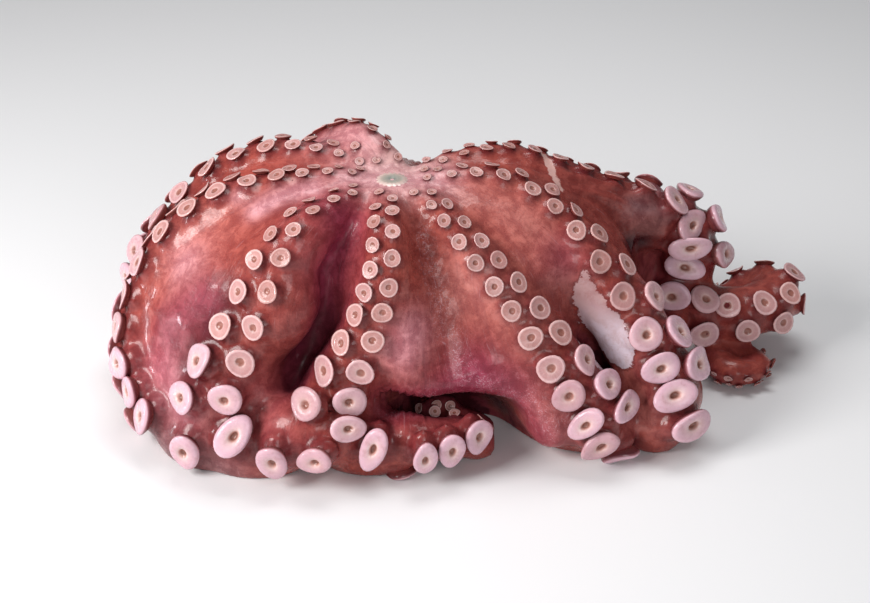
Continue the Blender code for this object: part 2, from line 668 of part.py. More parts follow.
def main():
    clear_scene()
    octopus = new_collection("whole_octopus")
    suckers = new_collection("sucker_cutters")
    ground = new_collection("ground_cutter")
    suckers.hide_render = True
    ground.hide_render = True
    skin = make_skin(octopus)
    skin.data.materials.clear()
    skin.data.materials.append(skin_material())
    add_suckers(skin, suckers)
    for sucker in suckers.objects:
        sucker.hide_render = True
        sucker.display_type = "WIRE"
    cut_flat(skin, ground)
    for shape in [skin, *suckers.objects]:
        shape.location += Vector(TO_CENTRE)


main()
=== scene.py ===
# %% [markdown]
# # A whole raw octopus, mouth up
#
# The animal lies on its hidden mantle with the mouth on top. Eight arms run out from the mouth
# and bend down to the ground, each with two rows of suckers along its outer side, and webs of
# wet skin hang between them. This lesson builds it in the order a modeller would: the lines
# that everything follows, the skin, the suckers, the mouth, the finishes, then the light.
#
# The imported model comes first. It is the frame that fixes the size, so its box is kept.

# %% The frame
import json
import math
import random

import bmesh
import bpy
import numpy as np
from mathutils import Matrix, Vector, noise
from mathutils.bvhtree import BVHTree
from mathutils.kdtree import KDTree

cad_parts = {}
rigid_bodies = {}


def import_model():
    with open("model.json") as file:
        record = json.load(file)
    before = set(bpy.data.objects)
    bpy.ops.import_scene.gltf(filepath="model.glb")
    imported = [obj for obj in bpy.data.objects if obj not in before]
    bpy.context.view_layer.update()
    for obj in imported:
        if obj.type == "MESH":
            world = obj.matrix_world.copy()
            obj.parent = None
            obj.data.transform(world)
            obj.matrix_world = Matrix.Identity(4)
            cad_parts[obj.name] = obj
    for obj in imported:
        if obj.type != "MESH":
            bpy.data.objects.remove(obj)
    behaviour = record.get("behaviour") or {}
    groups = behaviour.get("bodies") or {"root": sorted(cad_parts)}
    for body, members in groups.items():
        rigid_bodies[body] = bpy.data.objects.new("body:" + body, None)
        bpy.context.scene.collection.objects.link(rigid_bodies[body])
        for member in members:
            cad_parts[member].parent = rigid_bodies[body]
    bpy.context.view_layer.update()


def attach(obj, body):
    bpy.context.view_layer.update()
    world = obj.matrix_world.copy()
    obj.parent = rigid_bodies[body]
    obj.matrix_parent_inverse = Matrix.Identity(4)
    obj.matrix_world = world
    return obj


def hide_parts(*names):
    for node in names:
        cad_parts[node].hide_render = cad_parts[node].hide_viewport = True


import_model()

# %% [markdown]
# ## The camera
#
# The animal is seen from its front and a little above, so that the mouth shows as a flat oval
# and the arms come towards the viewer. A long lens keeps the far arms nearly as large as the
# near ones. The camera comes early, because every later choice is judged through it.

# %% The camera
TO_CENTRE = Vector((-0.003, 0.0025, 0.0))
LOOK_AT = Vector((-0.016, -0.018, 0.055)) + TO_CENTRE
CAMERA_RISE = math.radians(30.0)
CAMERA_DISTANCE = 0.9

camera_data = bpy.data.cameras.new("camera")
camera_data.lens = 74.5
camera_data.sensor_width = 36.0
camera = bpy.data.objects.new("camera", camera_data)
bpy.context.scene.collection.objects.link(camera)
towards_viewer = Vector((0.0, -math.cos(CAMERA_RISE), math.sin(CAMERA_RISE)))
camera.location = LOOK_AT + towards_viewer * CAMERA_DISTANCE
camera.rotation_euler = (math.pi / 2 - CAMERA_RISE, 0.0, 0.0)
bpy.context.scene.camera = camera
print("the camera stands at", [round(value, 3) for value in camera.location])

# %% [markdown]
# ## The lines of the arms
#
# Every arm is drawn as the line between its two rows of suckers, from the mouth to its tip.
# Drawing that line, and not the arm's middle, puts the suckers where they belong: the arm's
# own tube is then hung under it. "web" is how many of its points the skin between the arms
# follows, and "drop" is where that skin goes on down. "facing" turns the suckers at the
# numbered points; elsewhere they face away from the middle of the mantle. "suckers" gives
# their widths at some distances from the mouth, "spacing" how far apart they sit, and "girth"
# the arm's radius at some distances. Everything is in metres.

# %% Routes of the arms
MOUTH = (-0.037, -0.016, 0.1255)
MANTLE_CORE = (-0.024, -0.013, 0.020)

GIRTH = [
    (0.0, 0.006), (0.030, 0.0105), (0.070, 0.014), (0.130, 0.019), (0.210, 0.018), (0.320, 0.009),
]
ARMS = {
    "right_rear": {
        "route": [
            (-0.026, -0.016, 0.126), (-0.014, -0.006, 0.129), (0.021, 0.010, 0.128),
            (0.062, 0.017, 0.1105), (0.096, 0.025, 0.0955), (0.115, 0.026, 0.083),
            (0.122, 0.020, 0.068), (0.120, 0.014, 0.052), (0.115, 0.010, 0.040),
            (0.123, 0.005, 0.033), (0.140, 0.006, 0.032), (0.158, 0.011, 0.032),
            (0.174, 0.023, 0.033), (0.174, 0.040, 0.036), (0.159, 0.052, 0.035),
            (0.139, 0.049, 0.027), (0.126, 0.034, 0.018), (0.1225, 0.016, 0.010),
        ],
        "facing": {
            2: (0.2, 0.30, 0.9), 3: (0.3, 0.45, 0.8), 4: (0.3, 0.30, 0.85), 5: (0.4, -0.45, 0.7),
            6: (0.4, -0.8, 0.35), 7: (0.35, -0.85, 0.3), 8: (0.3, -0.9, 0.2),
            9: (0.0, -0.9, 0.25), 10: (0.1, -0.9, 0.4), 11: (0.5, -0.8, 0.35),
            12: (0.95, -0.1, 0.4), 13: (0.7, 0.6, 0.5), 14: (0.1, 0.8, 0.6),
            15: (-0.4, 0.7, 0.5), 16: (-0.8, 0.4, 0.3), 17: (-1.0, 0.0, 0.0),
        },
        "web": 5, "drop": [(0.106, 0.028, 0.070), (0.104, 0.028, 0.035)],
        "suckers": [
            (0.0, 0.0040), (0.015, 0.0048), (0.060, 0.0080), (0.110, 0.0110), (0.140, 0.0150),
            (0.160, 0.0215), (0.180, 0.0245), (0.200, 0.0200), (0.215, 0.0165), (0.240, 0.0130),
            (0.290, 0.0130), (0.330, 0.0100), (0.350, 0.0065), (0.400, 0.005), (0.500, 0.0035),
            (0.600, 0.0015),
        ],
        "spacing": 1.0, "spread": (1.0, 0.68), "lean": (12, 55),
        "bare": (27,),
        "girth": [
            (0.0, 0.006), (0.030, 0.010), (0.130, 0.0155), (0.200, 0.0155), (0.280, 0.0135),
            (0.345, 0.0100), (0.400, 0.0078), (0.500, 0.0050), (0.600, 0.0022),
        ],
    },
    "back_left": {
        "route": [
            (-0.037, -0.010, 0.127), (-0.037, -0.004, 0.133), (-0.042, 0.003, 0.1375),
            (-0.053, 0.014, 0.1385), (-0.068, 0.029, 0.129), (-0.083, 0.050, 0.106),
            (-0.093, 0.069, 0.074), (-0.096, 0.080, 0.042), (-0.091, 0.088, 0.018),
            (-0.072, 0.096, 0.011), (-0.047, 0.097, 0.010), (-0.023, 0.097, 0.009),
            (-0.003, 0.104, 0.008), (0.010, 0.102, 0.007), (0.014, 0.092, 0.006),
        ],
        "facing": {
            1: (0.3, 0.3, 0.9), 2: (0.1, 0.5, 0.8), 3: (-0.1, 0.5, 0.8),
            8: (-0.3, 0.8, 0.3), 9: (0.0, 1.0, 0.2), 10: (0.1, 1.0, 0.2), 11: (-0.1, 1.0, 0.2),
            12: (0.1, 1.0, 0.1), 13: (0.7, 0.7, 0.1), 14: (1.0, -0.2, 0.1),
        },
        "web": 9, "drop": [],
        "suckers": [
            (0.0, 0.0040), (0.015, 0.0048), (0.030, 0.0066), (0.060, 0.0095), (0.100, 0.013),
            (0.160, 0.020), (0.220, 0.016), (0.280, 0.008), (0.330, 0.003),
        ],
        "spacing": 1.0, "spread": (0.9, 0.9), "lean": (25, 25),
        "girth": GIRTH,
    },
    "left_rear": {
        "route": [
            (-0.043, -0.014, 0.126), (-0.057, -0.005, 0.1305), (-0.090, 0.006, 0.1315),
            (-0.123, 0.009, 0.1205), (-0.144, 0.010, 0.100), (-0.161, 0.009, 0.077),
            (-0.169, 0.013, 0.052), (-0.166, 0.021, 0.029), (-0.154, 0.037, 0.014),
            (-0.134, 0.052, 0.010), (-0.116, 0.064, 0.009), (-0.107, 0.080, 0.007),
            (-0.116, 0.090, 0.006),
        ],
        "facing": {
            2: (-0.15, 0.05, 1.0), 3: (-0.45, 0.05, 0.85),
            8: (-0.7, 0.6, 0.2), 9: (-0.5, 0.8, 0.2), 10: (-0.6, 0.6, 0.1), 11: (0.9, 0.4, 0.0),
            12: (0.4, 0.9, 0.0),
        },
        "web": 9, "drop": [],
        "suckers": [
            (0.0, 0.0040), (0.015, 0.0048), (0.030, 0.0066), (0.060, 0.0095), (0.100, 0.0125),
            (0.165, 0.019), (0.210, 0.015), (0.250, 0.009), (0.300, 0.003),
        ],
        "spacing": 1.0, "spread": (0.9, 0.9), "lean": (25, 25),
        "girth": [
            (0.0, 0.006), (0.030, 0.010), (0.130, 0.018), (0.190, 0.017), (0.250, 0.009),
            (0.300, 0.004),
        ],
    },
    "left_side": {
        "route": [
            (-0.046, -0.019, 0.126), (-0.060, -0.020, 0.129), (-0.080, -0.023, 0.129),
            (-0.113, -0.024, 0.123), (-0.138, -0.025, 0.108), (-0.158, -0.027, 0.084),
            (-0.168, -0.032, 0.058), (-0.168, -0.045, 0.036), (-0.158, -0.064, 0.019),
            (-0.144, -0.081, 0.012), (-0.125, -0.089, 0.010), (-0.105, -0.084, 0.010),
        ],
        "facing": {
            2: (-0.1, 0.0, 1.0), 6: (-1.0, -0.1, 0.2), 7: (-0.95, -0.2, 0.1),
            8: (-0.85, -0.5, 0.0), 9: (-0.55, -0.8, 0.1), 10: (0.0, -1.0, 0.1),
        },
        "web": 9, "drop": [],
        "suckers": [
            (0.0, 0.0040), (0.015, 0.0048), (0.030, 0.0066), (0.060, 0.0095), (0.110, 0.0125),
            (0.170, 0.018), (0.230, 0.0205), (0.300, 0.017),
        ],
        "spacing": 1.0, "spread": (0.9, 0.6), "lean": (20, 0),
        "bare": (28, 29, 30, 32, 33, 34),
        "girth": [(0.0, 0.006), (0.030, 0.010), (0.130, 0.018), (0.240, 0.018), (0.300, 0.013)],
    },
    "left_front": {
        "route": [
            (-0.048, -0.032, 0.126), (-0.062, -0.041, 0.127), (-0.082, -0.062, 0.123),
            (-0.093, -0.075, 0.107), (-0.100, -0.078, 0.089), (-0.109, -0.080, 0.071),
            (-0.119, -0.084, 0.052), (-0.125, -0.087, 0.035), (-0.121, -0.090, 0.020),
            (-0.106, -0.094, 0.011), (-0.081, -0.097, 0.010), (-0.056, -0.093, 0.010),
            (-0.034, -0.078, 0.010),
        ],
        "facing": {
            3: (-0.25, -0.8, 0.55), 5: (-0.3, -0.85, 0.4), 6: (-0.25, -0.9, 0.3),
            7: (-0.15, -0.95, 0.25), 8: (-0.15, -0.95, 0.3), 9: (-0.1, -0.95, 0.2),
            10: (0.0, -0.75, -0.65), 11: (0.1, -0.75, -0.65),
        },
        "web": 9, "drop": [],
        "suckers": [
            (0.0, 0.0040), (0.015, 0.0052), (0.030, 0.0072), (0.045, 0.0075), (0.061, 0.0090),
            (0.079, 0.0118), (0.107, 0.0132), (0.125, 0.0160), (0.145, 0.0190), (0.163, 0.0225),
            (0.180, 0.0235), (0.210, 0.0210), (0.260, 0.017), (0.330, 0.012),
        ],
        "spacing": 1.04, "spread": (1.0, 1.0), "lean": (50, 10),
        "bare": (19, 20, 22, 23, 24, 26, 27, 28, 29, 30, 31, 33, 35),
        "girth": [
            (0.0, 0.006), (0.030, 0.0115), (0.070, 0.016), (0.130, 0.0215), (0.200, 0.019),
            (0.320, 0.012),
        ],
    },
    "front": {
        "route": [
            (-0.039, -0.034, 0.126), (-0.040, -0.048, 0.125), (-0.040, -0.064, 0.119),
            (-0.041, -0.075, 0.103), (-0.045, -0.079, 0.088), (-0.051, -0.082, 0.072),
            (-0.059, -0.085, 0.055), (-0.065, -0.087, 0.038), (-0.063, -0.090, 0.021),
            (-0.048, -0.094, 0.012), (-0.025, -0.095, 0.010), (-0.005, -0.089, 0.011),
            (0.009, -0.077, 0.011), (0.004, -0.067, 0.012), (-0.009, -0.065, 0.015),
            (-0.021, -0.064, 0.019), (-0.016, -0.060, 0.025), (-0.004, -0.060, 0.023),
        ],
        "facing": {
            4: (-0.15, -0.85, 0.5), 5: (-0.2, -0.85, 0.45), 6: (-0.2, -0.9, 0.4),
            7: (-0.1, -0.95, 0.3), 8: (0.0, -0.95, 0.3), 9: (0.05, -0.95, 0.1),
            10: (0.1, -0.8, -0.6), 11: (0.5, -0.7, -0.5), 12: (0.9, -0.2, 0.1),
            13: (0.3, -0.9, 0.3), 14: (0.0, -0.9, 0.4), 15: (-0.5, -0.7, 0.4),
            16: (-0.2, -0.5, 0.8), 17: (0.0, -0.5, 0.8),
        },
        "web": 9, "drop": [],
        "suckers": [
            (0.0, 0.0042), (0.015, 0.0064), (0.040, 0.0080), (0.060, 0.0092), (0.077, 0.0108),
            (0.095, 0.0130), (0.111, 0.0150), (0.125, 0.0172), (0.137, 0.0195), (0.150, 0.0225),
            (0.175, 0.0225), (0.212, 0.0178), (0.232, 0.0065), (0.300, 0.0045),
        ],
        "spacing": 0.88, "spread": (0.9, 1.0), "lean": (50, 8),
        "bare": (21, 22, 24, 25, 26, 28, 30, 32, 34),
        "girth": [
            (0.0, 0.006), (0.030, 0.0105), (0.070, 0.014), (0.130, 0.019), (0.160, 0.0165),
            (0.195, 0.0108), (0.226, 0.0088), (0.250, 0.0062), (0.275, 0.0045), (0.300, 0.0030),
        ],
    },
    "right_front": {
        "route": [
            (-0.027, -0.032, 0.126), (-0.017, -0.041, 0.124), (-0.001, -0.055, 0.110),
            (0.017, -0.064, 0.090), (0.0365, -0.070, 0.064), (0.0545, -0.076, 0.040),
            (0.067, -0.081, 0.024), (0.074, -0.079, 0.013), (0.079, -0.065, 0.009),
            (0.079, -0.048, 0.009),
        ],
        "facing": {
            2: (0.15, -0.7, 0.7), 3: (0.3, -0.8, 0.5), 4: (0.35, -0.85, 0.4), 5: (0.3, -0.9, 0.35),
            6: (0.3, -0.9, 0.2), 7: (0.4, -0.85, -0.2), 8: (0.8, -0.5, -0.1),
        },
        "web": 7, "drop": [],
        "suckers": [
            (0.0, 0.0040), (0.015, 0.0055), (0.044, 0.0085), (0.060, 0.0095), (0.080, 0.0112),
            (0.100, 0.0132), (0.114, 0.0150), (0.128, 0.0182), (0.144, 0.0225), (0.180, 0.0220),
            (0.230, 0.020),
        ],
        "spacing": 0.92, "spread": (0.85, 0.85), "lean": (12, 52),
        "bare": (23,),
        "girth": [(0.0, 0.006), (0.030, 0.0105), (0.070, 0.014), (0.130, 0.0175), (0.230, 0.014)],
    },
    "right_side": {
        "route": [
            (-0.026, -0.023, 0.126), (-0.014, -0.021, 0.128), (0.015, -0.018, 0.127),
            (0.040, -0.025, 0.116), (0.061, -0.038, 0.097), (0.083, -0.049, 0.070),
            (0.099, -0.060, 0.043), (0.107, -0.066, 0.026), (0.1095, -0.065, 0.014),
            (0.1085, -0.051, 0.009), (0.102, -0.038, 0.009),
        ],
        "facing": {
            3: (0.3, -0.25, 0.9), 4: (0.4, -0.5, 0.7), 5: (0.5, -0.75, 0.4), 6: (0.5, -0.8, 0.25),
            7: (0.5, -0.85, 0.1), 8: (0.8, -0.6, 0.0), 9: (1.0, 0.1, 0.0),
        },
        "web": 8, "drop": [],
        "suckers": [
            (0.0, 0.0040), (0.015, 0.0052), (0.040, 0.0080), (0.083, 0.0090), (0.099, 0.0110),
            (0.113, 0.0120), (0.129, 0.0148), (0.149, 0.0182), (0.171, 0.0228), (0.195, 0.0225),
            (0.260, 0.019),
        ],
        "spacing": 1.1, "spread": (0.8, 0.8), "lean": (8, 50),
        "bare": (23, 25, 26, 27),
        "girth": GIRTH,
    },
}

# %% [markdown]
# ## The lines of the webs
#
# Between two arms the skin hangs in shallow troughs, deep folds and full bulges, and at the
# front its hem stands off the ground. Each of these is one more line from the mouth down, and
# arms and folds take turns round the mouth, seen from above.

# %% Lines of the folds
FOLDS = {
    "rear_right": [
        (-0.028, -0.009, 0.125), (0.006, 0.020, 0.116), (0.044, 0.040, 0.096),
        (0.076, 0.052, 0.064), (0.090, 0.054, 0.030), (0.090, 0.048, 0.010),
    ],
    "rear_middle": [
        (-0.032, -0.007, 0.124), (-0.012, 0.016, 0.110), (-0.002, 0.040, 0.101),
        (0.010, 0.064, 0.080), (0.022, 0.082, 0.052), (0.028, 0.090, 0.030),
        (0.026, 0.080, 0.014),
    ],
    "rear_left": [
        (-0.035, -0.007, 0.125), (-0.029, 0.012, 0.115), (-0.034, 0.038, 0.108),
        (-0.038, 0.062, 0.088), (-0.042, 0.080, 0.058), (-0.044, 0.088, 0.032),
        (-0.044, 0.080, 0.014),
    ],
    "rear_trough": [
        (-0.041, -0.010, 0.126), (-0.058, 0.002, 0.131), (-0.082, 0.020, 0.124),
        (-0.108, 0.034, 0.106), (-0.126, 0.042, 0.080), (-0.134, 0.046, 0.048),
        (-0.134, 0.048, 0.020),
    ],
    "left_trough": [
        (-0.045, -0.017, 0.126), (-0.068, -0.010, 0.127), (-0.102, -0.008, 0.122),
        (-0.132, -0.008, 0.106), (-0.151, -0.008, 0.080), (-0.158, -0.007, 0.054),
        (-0.157, -0.004, 0.024),
    ],
    "left_bulge": [
        (-0.047, -0.024, 0.126), (-0.068, -0.029, 0.125), (-0.098, -0.038, 0.118),
        (-0.124, -0.048, 0.101), (-0.141, -0.056, 0.078), (-0.148, -0.061, 0.052),
        (-0.146, -0.066, 0.028), (-0.138, -0.068, 0.012),
    ],
    "left_crease": [
        (-0.048, -0.028, 0.126), (-0.068, -0.041, 0.123), (-0.092, -0.058, 0.115),
        (-0.110, -0.067, 0.096), (-0.123, -0.073, 0.072), (-0.130, -0.076, 0.048),
        (-0.129, -0.078, 0.026), (-0.120, -0.078, 0.010),
    ],
    "front_flank": [
        (-0.047, -0.033, 0.126), (-0.061, -0.045, 0.123), (-0.075, -0.061, 0.114),
        (-0.084, -0.071, 0.096), (-0.092, -0.074, 0.074), (-0.096, -0.078, 0.052),
        (-0.095, -0.083, 0.030), (-0.090, -0.084, 0.012),
    ],
    "front_valley": [
        (-0.045, -0.033, 0.126), (-0.055, -0.043, 0.118), (-0.064, -0.051, 0.105),
        (-0.070, -0.055, 0.086), (-0.074, -0.055, 0.064), (-0.078, -0.057, 0.040),
        (-0.081, -0.064, 0.018),
    ],
    "front_bulge": [
        (-0.036, -0.033, 0.126), (-0.032, -0.048, 0.119), (-0.031, -0.064, 0.106),
        (-0.030, -0.076, 0.087), (-0.030, -0.082, 0.067), (-0.029, -0.085, 0.050),
        (-0.028, -0.081, 0.039), (-0.026, -0.060, 0.034), (-0.024, -0.042, 0.010),
    ],
    "front_crease": [
        (-0.031, -0.032, 0.126), (-0.024, -0.048, 0.113), (-0.018, -0.058, 0.097),
        (-0.013, -0.065, 0.078), (-0.008, -0.073, 0.058), (-0.003, -0.080, 0.043),
        (-0.001, -0.073, 0.036), (0.000, -0.052, 0.030), (0.000, -0.038, 0.010),
    ],
    "front_hem": [
        (-0.027, -0.032, 0.126), (-0.010, -0.050, 0.112), (0.002, -0.061, 0.092),
        (0.011, -0.069, 0.070), (0.016, -0.077, 0.050), (0.018, -0.077, 0.037),
        (0.018, -0.058, 0.025), (0.017, -0.042, 0.008),
    ],
    "right_hem": [
        (-0.0275, -0.032, 0.126), (-0.013, -0.046, 0.118), (0.008, -0.062, 0.098),
        (0.025, -0.069, 0.072), (0.034, -0.076, 0.046), (0.037, -0.084, 0.023),
        (0.038, -0.081, 0.008), (0.038, -0.066, 0.005),
    ],
    "right_cavity": [
        (-0.026, -0.028, 0.126), (-0.002, -0.033, 0.121), (0.021, -0.041, 0.111),
        (0.041, -0.048, 0.094), (0.053, -0.041, 0.070), (0.059, -0.035, 0.044),
        (0.063, -0.033, 0.018),
    ],
    "right_curtain": [
        (-0.025, -0.019, 0.126), (0.000, -0.010, 0.126), (0.030, -0.003, 0.121),
        (0.058, 0.002, 0.106), (0.080, 0.008, 0.084), (0.088, 0.011, 0.058),
        (0.090, 0.012, 0.026),
    ],
}
ROUND = (
    "right_rear", "rear_right", "rear_middle", "rear_left", "back_left", "rear_trough",
    "left_rear", "left_trough", "left_side", "left_bulge", "left_crease", "left_front",
    "front_flank", "front_valley", "front", "front_bulge", "front_crease", "front_hem",
    "right_hem", "right_front", "right_cavity", "right_side", "right_curtain",
)
print(len(ARMS), "arms and", len(FOLDS), "lines of skin between them")

# %% [markdown]
# The tip of the rear right arm lies on the ground in a flat spiral, like a watch spring. A
# spiral is easier to state as a centre, two radii and a number of turns than as points.

# %% The coiled tip
COIL_CENTRE = (0.143, 0.001)
COIL_OUTER = 0.0195
COIL_INNER = 0.0035
COIL_TURNS = 1.6
COIL_HEIGHT = 0.0075
POINTS_PER_TURN = 14


def coil_points():
    """The tip's spiral on the ground, anticlockwise from its left side, seen from above."""
    count = round(COIL_TURNS * POINTS_PER_TURN)
    points = []
    for index in range(1, count + 1):
        share = index / count
        angle = math.pi + share * COIL_TURNS * 2 * math.pi
        radius = COIL_OUTER + (COIL_INNER - COIL_OUTER) * share**1.3
        x = COIL_CENTRE[0] + radius * math.cos(angle)
        y = COIL_CENTRE[1] + radius * math.sin(angle)
        points.append((x, y, COIL_HEIGHT))
    return points


# %% [markdown]
# ## From a few points to a smooth line
#
# A dozen points would show as corners. A Hermite curve runs smoothly through them, and reading
# it in even steps gives a line on which every distance means what it says. The way that the
# suckers face is carried along the same curve.

# %% Smooth lines
LINE_STEP = 0.002


def unit(vectors):
    return vectors / np.linalg.norm(vectors, axis=-1, keepdims=True)


def distances(points):
    """How far along the line of points each one lies."""
    gaps = np.linalg.norm(np.diff(points, axis=0), axis=1)
    return np.concatenate([[0.0], np.cumsum(gaps)])


def smooth_line(points, values=None, step=0.001):
    """A smooth curve through the points in fine even steps, and values that go along with it."""
    points = np.array(points, float)
    gaps = np.linalg.norm(np.diff(points, axis=0), axis=1)
    knots = np.concatenate([[0.0], np.cumsum(np.sqrt(gaps))])
    slopes = np.gradient(points, knots, axis=0)
    fine = np.linspace(0.0, knots[-1], 40 * len(points))
    span = np.clip(np.searchsorted(knots, fine, side="right") - 1, 0, len(points) - 2)
    width = knots[span + 1] - knots[span]
    u = ((fine - knots[span]) / width)[:, None]
    width = width[:, None]
    curve = (
        (2 * u**3 - 3 * u**2 + 1) * points[span]
        + (u**3 - 2 * u**2 + u) * width * slopes[span]
        + (3 * u**2 - 2 * u**3) * points[span + 1]
        + (u**3 - u**2) * width * slopes[span + 1]
    )
    along = distances(curve)
    even = np.linspace(0.0, along[-1], max(2, round(along[-1] / step) + 1))
    line = np.stack([np.interp(even, along, curve[:, axis]) for axis in range(3)], axis=1)
    if values is None:
        return line
    places = np.interp(even, along, fine)
    carried = [np.interp(places, knots, values[:, axis]) for axis in range(3)]
    return line, np.stack(carried, axis=1)


def arm_line(name):
    """The line between the sucker rows in even steps, its direction, and where suckers face."""
    arm = ARMS[name]
    route = list(arm["route"])
    facing = unit(np.array(route) - MANTLE_CORE)
    for index, direction in arm["facing"].items():
        facing[index] = unit(np.array(direction, float))
    if name == "right_rear":
        coil = coil_points()
        outwards = np.array(coil) - (*COIL_CENTRE, COIL_HEIGHT)
        route += coil
        facing = np.concatenate([facing, unit(outwards)])
    line, facing = smooth_line(route, facing, LINE_STEP)
    along = unit(np.gradient(line, axis=0))
    facing = unit(facing - along * np.sum(facing * along, axis=1, keepdims=True))
    return line, along, facing


def along_arm(name, kind, places):
    """The arm's girth, or its suckers' width, at the given distances from its root."""
    knots, values = zip(*ARMS[name][kind])
    return np.interp(places, knots, values)


LINES = {name: arm_line(name) for name in ARMS}
for name, (line, _, _) in LINES.items():
    print(name, "is", round(distances(line)[-1], 3), "m long")

# %% [markdown]
# ## Small helpers
#
# An operator works on whatever is selected, and loading the frame leaves its nodes selected.
# So everything is deselected before each new piece, and a finished modifier is applied by name.

# %% Selecting and applying
def deselect_all():
    for item in bpy.context.view_layer.objects:
        item.select_set(False)


def choose(item):
    """Only this object is selected, and it is the active one."""
    deselect_all()
    item.select_set(True)
    bpy.context.view_layer.objects.active = item


def apply_modifier(item, kind, **settings):
    choose(item)
    modifier = item.modifiers.new(kind.lower(), kind)
    for name, value in settings.items():
        setattr(modifier, name, value)
    bpy.ops.object.modifier_apply(modifier=modifier.name)


def join(items, name):
    """All the objects become one, which takes the first one's place and the given name."""
    deselect_all()
    for item in items:
        item.select_set(True)
    bpy.context.view_layer.objects.active = items[0]
    bpy.ops.object.join()
    items[0].name = name
    items[0].data.name = name
    return items[0]


def triangles(item):
    return sum(len(face.vertices) - 2 for face in item.data.polygons)


def add_circle(sides, radius, place, fill="NOTHING"):
    """A new circle, in edit mode and with all of it selected."""
    deselect_all()
    bpy.ops.mesh.primitive_circle_add(
        vertices=sides, radius=radius, fill_type=fill, location=place
    )
    bpy.ops.object.transform_apply(location=True)
    bpy.ops.object.mode_set(mode="EDIT")
    bpy.ops.mesh.select_all(action="SELECT")
    return bpy.context.object


def turn_rows(rows, **about):
    """Extrudes the circle row by row, as on a lathe, and closes it in the middle."""
    radius, height, _ = rows[0]
    for wider, higher, _ in rows[1:]:
        step = (0.0, 0.0, higher - height)
        bpy.ops.mesh.extrude_region_move(TRANSFORM_OT_translate={"value": step})
        bpy.ops.transform.resize(value=(wider / radius, wider / radius, 1.0), **about)
        radius, height = wider, higher
    bpy.ops.mesh.extrude_region_move()
    bpy.ops.mesh.merge(type="CENTER")


def finish_shape():
    """All faces are turned outwards, and edit mode is left."""
    bpy.ops.mesh.select_all(action="SELECT")
    bpy.ops.mesh.normals_make_consistent(inside=False)
    bpy.ops.object.mode_set(mode="OBJECT")


# %% [markdown]
# ## The webs
#
# The webs are one draped umbrella of skin. It could be a cloth simulation, but then each fold
# would fall where it liked. Here it is drawn out instead: a small disc at the mouth, whose
# edge is extruded ring after ring, each ring moved onto its place on the arms' and folds'
# lines. A Catmull-Rom curve round each ring keeps the skin smooth from line to line.

# %% Rings of the webs
RING_COUNT = 24
SLICES_PER_FOLD = 4
UNDERSIDE = -0.006
HEM_INWARDS = 0.93
CROWN_RADIUS = 0.005


def web_column(name):
    """One line of the skin from the mouth to the ground, in RING_COUNT even points."""
    if name in FOLDS:
        points = list(FOLDS[name])
    else:
        arm = ARMS[name]
        line, _, facing = LINES[name]
        last = np.array(arm["route"][arm["web"] - 1])
        end = int(np.argmin(np.linalg.norm(line - last, axis=1)))
        depth = np.linspace(0.001, 0.010, end + 1)[:, None]
        points = [tuple(point) for point in (line[: end + 1] - facing[: end + 1] * depth)[::5]]
        points += arm["drop"]
    x, y, _ = points[-1]
    points.append((x * HEM_INWARDS, y * HEM_INWARDS, UNDERSIDE))
    line = smooth_line(points)
    chosen = np.linspace(0, len(line) - 1, RING_COUNT).round().astype(int)
    return line[chosen]


def round_trip(ring):
    """A closed smooth curve through the points of one ring, SLICES_PER_FOLD for each gap."""
    before = np.roll(ring, 1, axis=0)
    after = np.roll(ring, -1, axis=0)
    beyond = np.roll(ring, -2, axis=0)
    rows = []
    for index in range(SLICES_PER_FOLD):
        u = index / SLICES_PER_FOLD
        rows.append(
            0.5
            * (
                2 * ring
                + (after - before) * u
                + (2 * before - 5 * ring + 4 * after - beyond) * u**2
                + (3 * ring - before - 3 * after + beyond) * u**3
            )
        )
    return np.stack(rows, axis=1).reshape(-1, 3)


def model_web():
    columns = np.stack([web_column(name) for name in ROUND])
    rings = [round_trip(columns[:, level]) for level in range(RING_COUNT)]
    web = add_circle(len(rings[0]), CROWN_RADIUS, MOUTH, "TRIFAN")
    shape = bmesh.from_edit_mesh(web.data)
    place = shape.verts.layers.int.new("place")
    middle = Vector(MOUTH)
    rim = [vertex for vertex in shape.verts if (vertex.co - middle).length > CROWN_RADIUS / 2]
    for number, vertex in enumerate(sorted(rim, key=lambda vertex: vertex.index)):
        vertex[place] = number
        vertex.co = rings[0][number]
    for vertex in shape.verts:
        vertex.select = vertex in rim
    shape.select_flush(True)
    for face in shape.faces:
        face.select = False
    for edge in shape.edges:
        edge.select = edge.is_boundary
    bmesh.update_edit_mesh(web.data)
    for ring in rings[1:]:
        bpy.ops.mesh.extrude_region_move()
        shape = bmesh.from_edit_mesh(web.data)
        place = shape.verts.layers.int["place"]
        for vertex in shape.verts:
            if vertex.select:
                vertex.co = ring[vertex[place]]
        bmesh.update_edit_mesh(web.data)
    bpy.ops.mesh.extrude_region_move()
    bpy.ops.mesh.merge(type="CENTER")
    finish_shape()
    return web


# %% [markdown]
# ## The arms
#
# An arm is a tube whose girth changes along it. A curve with a bevel and a radius at each
# point makes that in one step, and its caps close the root inside the crown and the tip.

# %% Tubes of the arms
def model_arm(name):
    line, _, facing = LINES[name]
    radius = along_arm(name, "girth", distances(line))
    centre = line - facing * radius[:, None]
    data = bpy.data.curves.new(name, "CURVE")
    data.dimensions = "3D"
    data.bevel_depth = 1.0
    data.bevel_resolution = 5
    data.use_fill_caps = True
    chosen = range(0, len(line), 2)
    spline = data.splines.new("POLY")
    spline.points.add(len(chosen) - 1)
    for point, index in zip(spline.points, chosen):
        point.co = (*centre[index], 1.0)
        point.radius = radius[index]
    arm = bpy.data.objects.new(name, data)
    bpy.context.scene.collection.objects.link(arm)
    choose(arm)
    bpy.ops.object.convert(target="MESH")
    return bpy.context.object


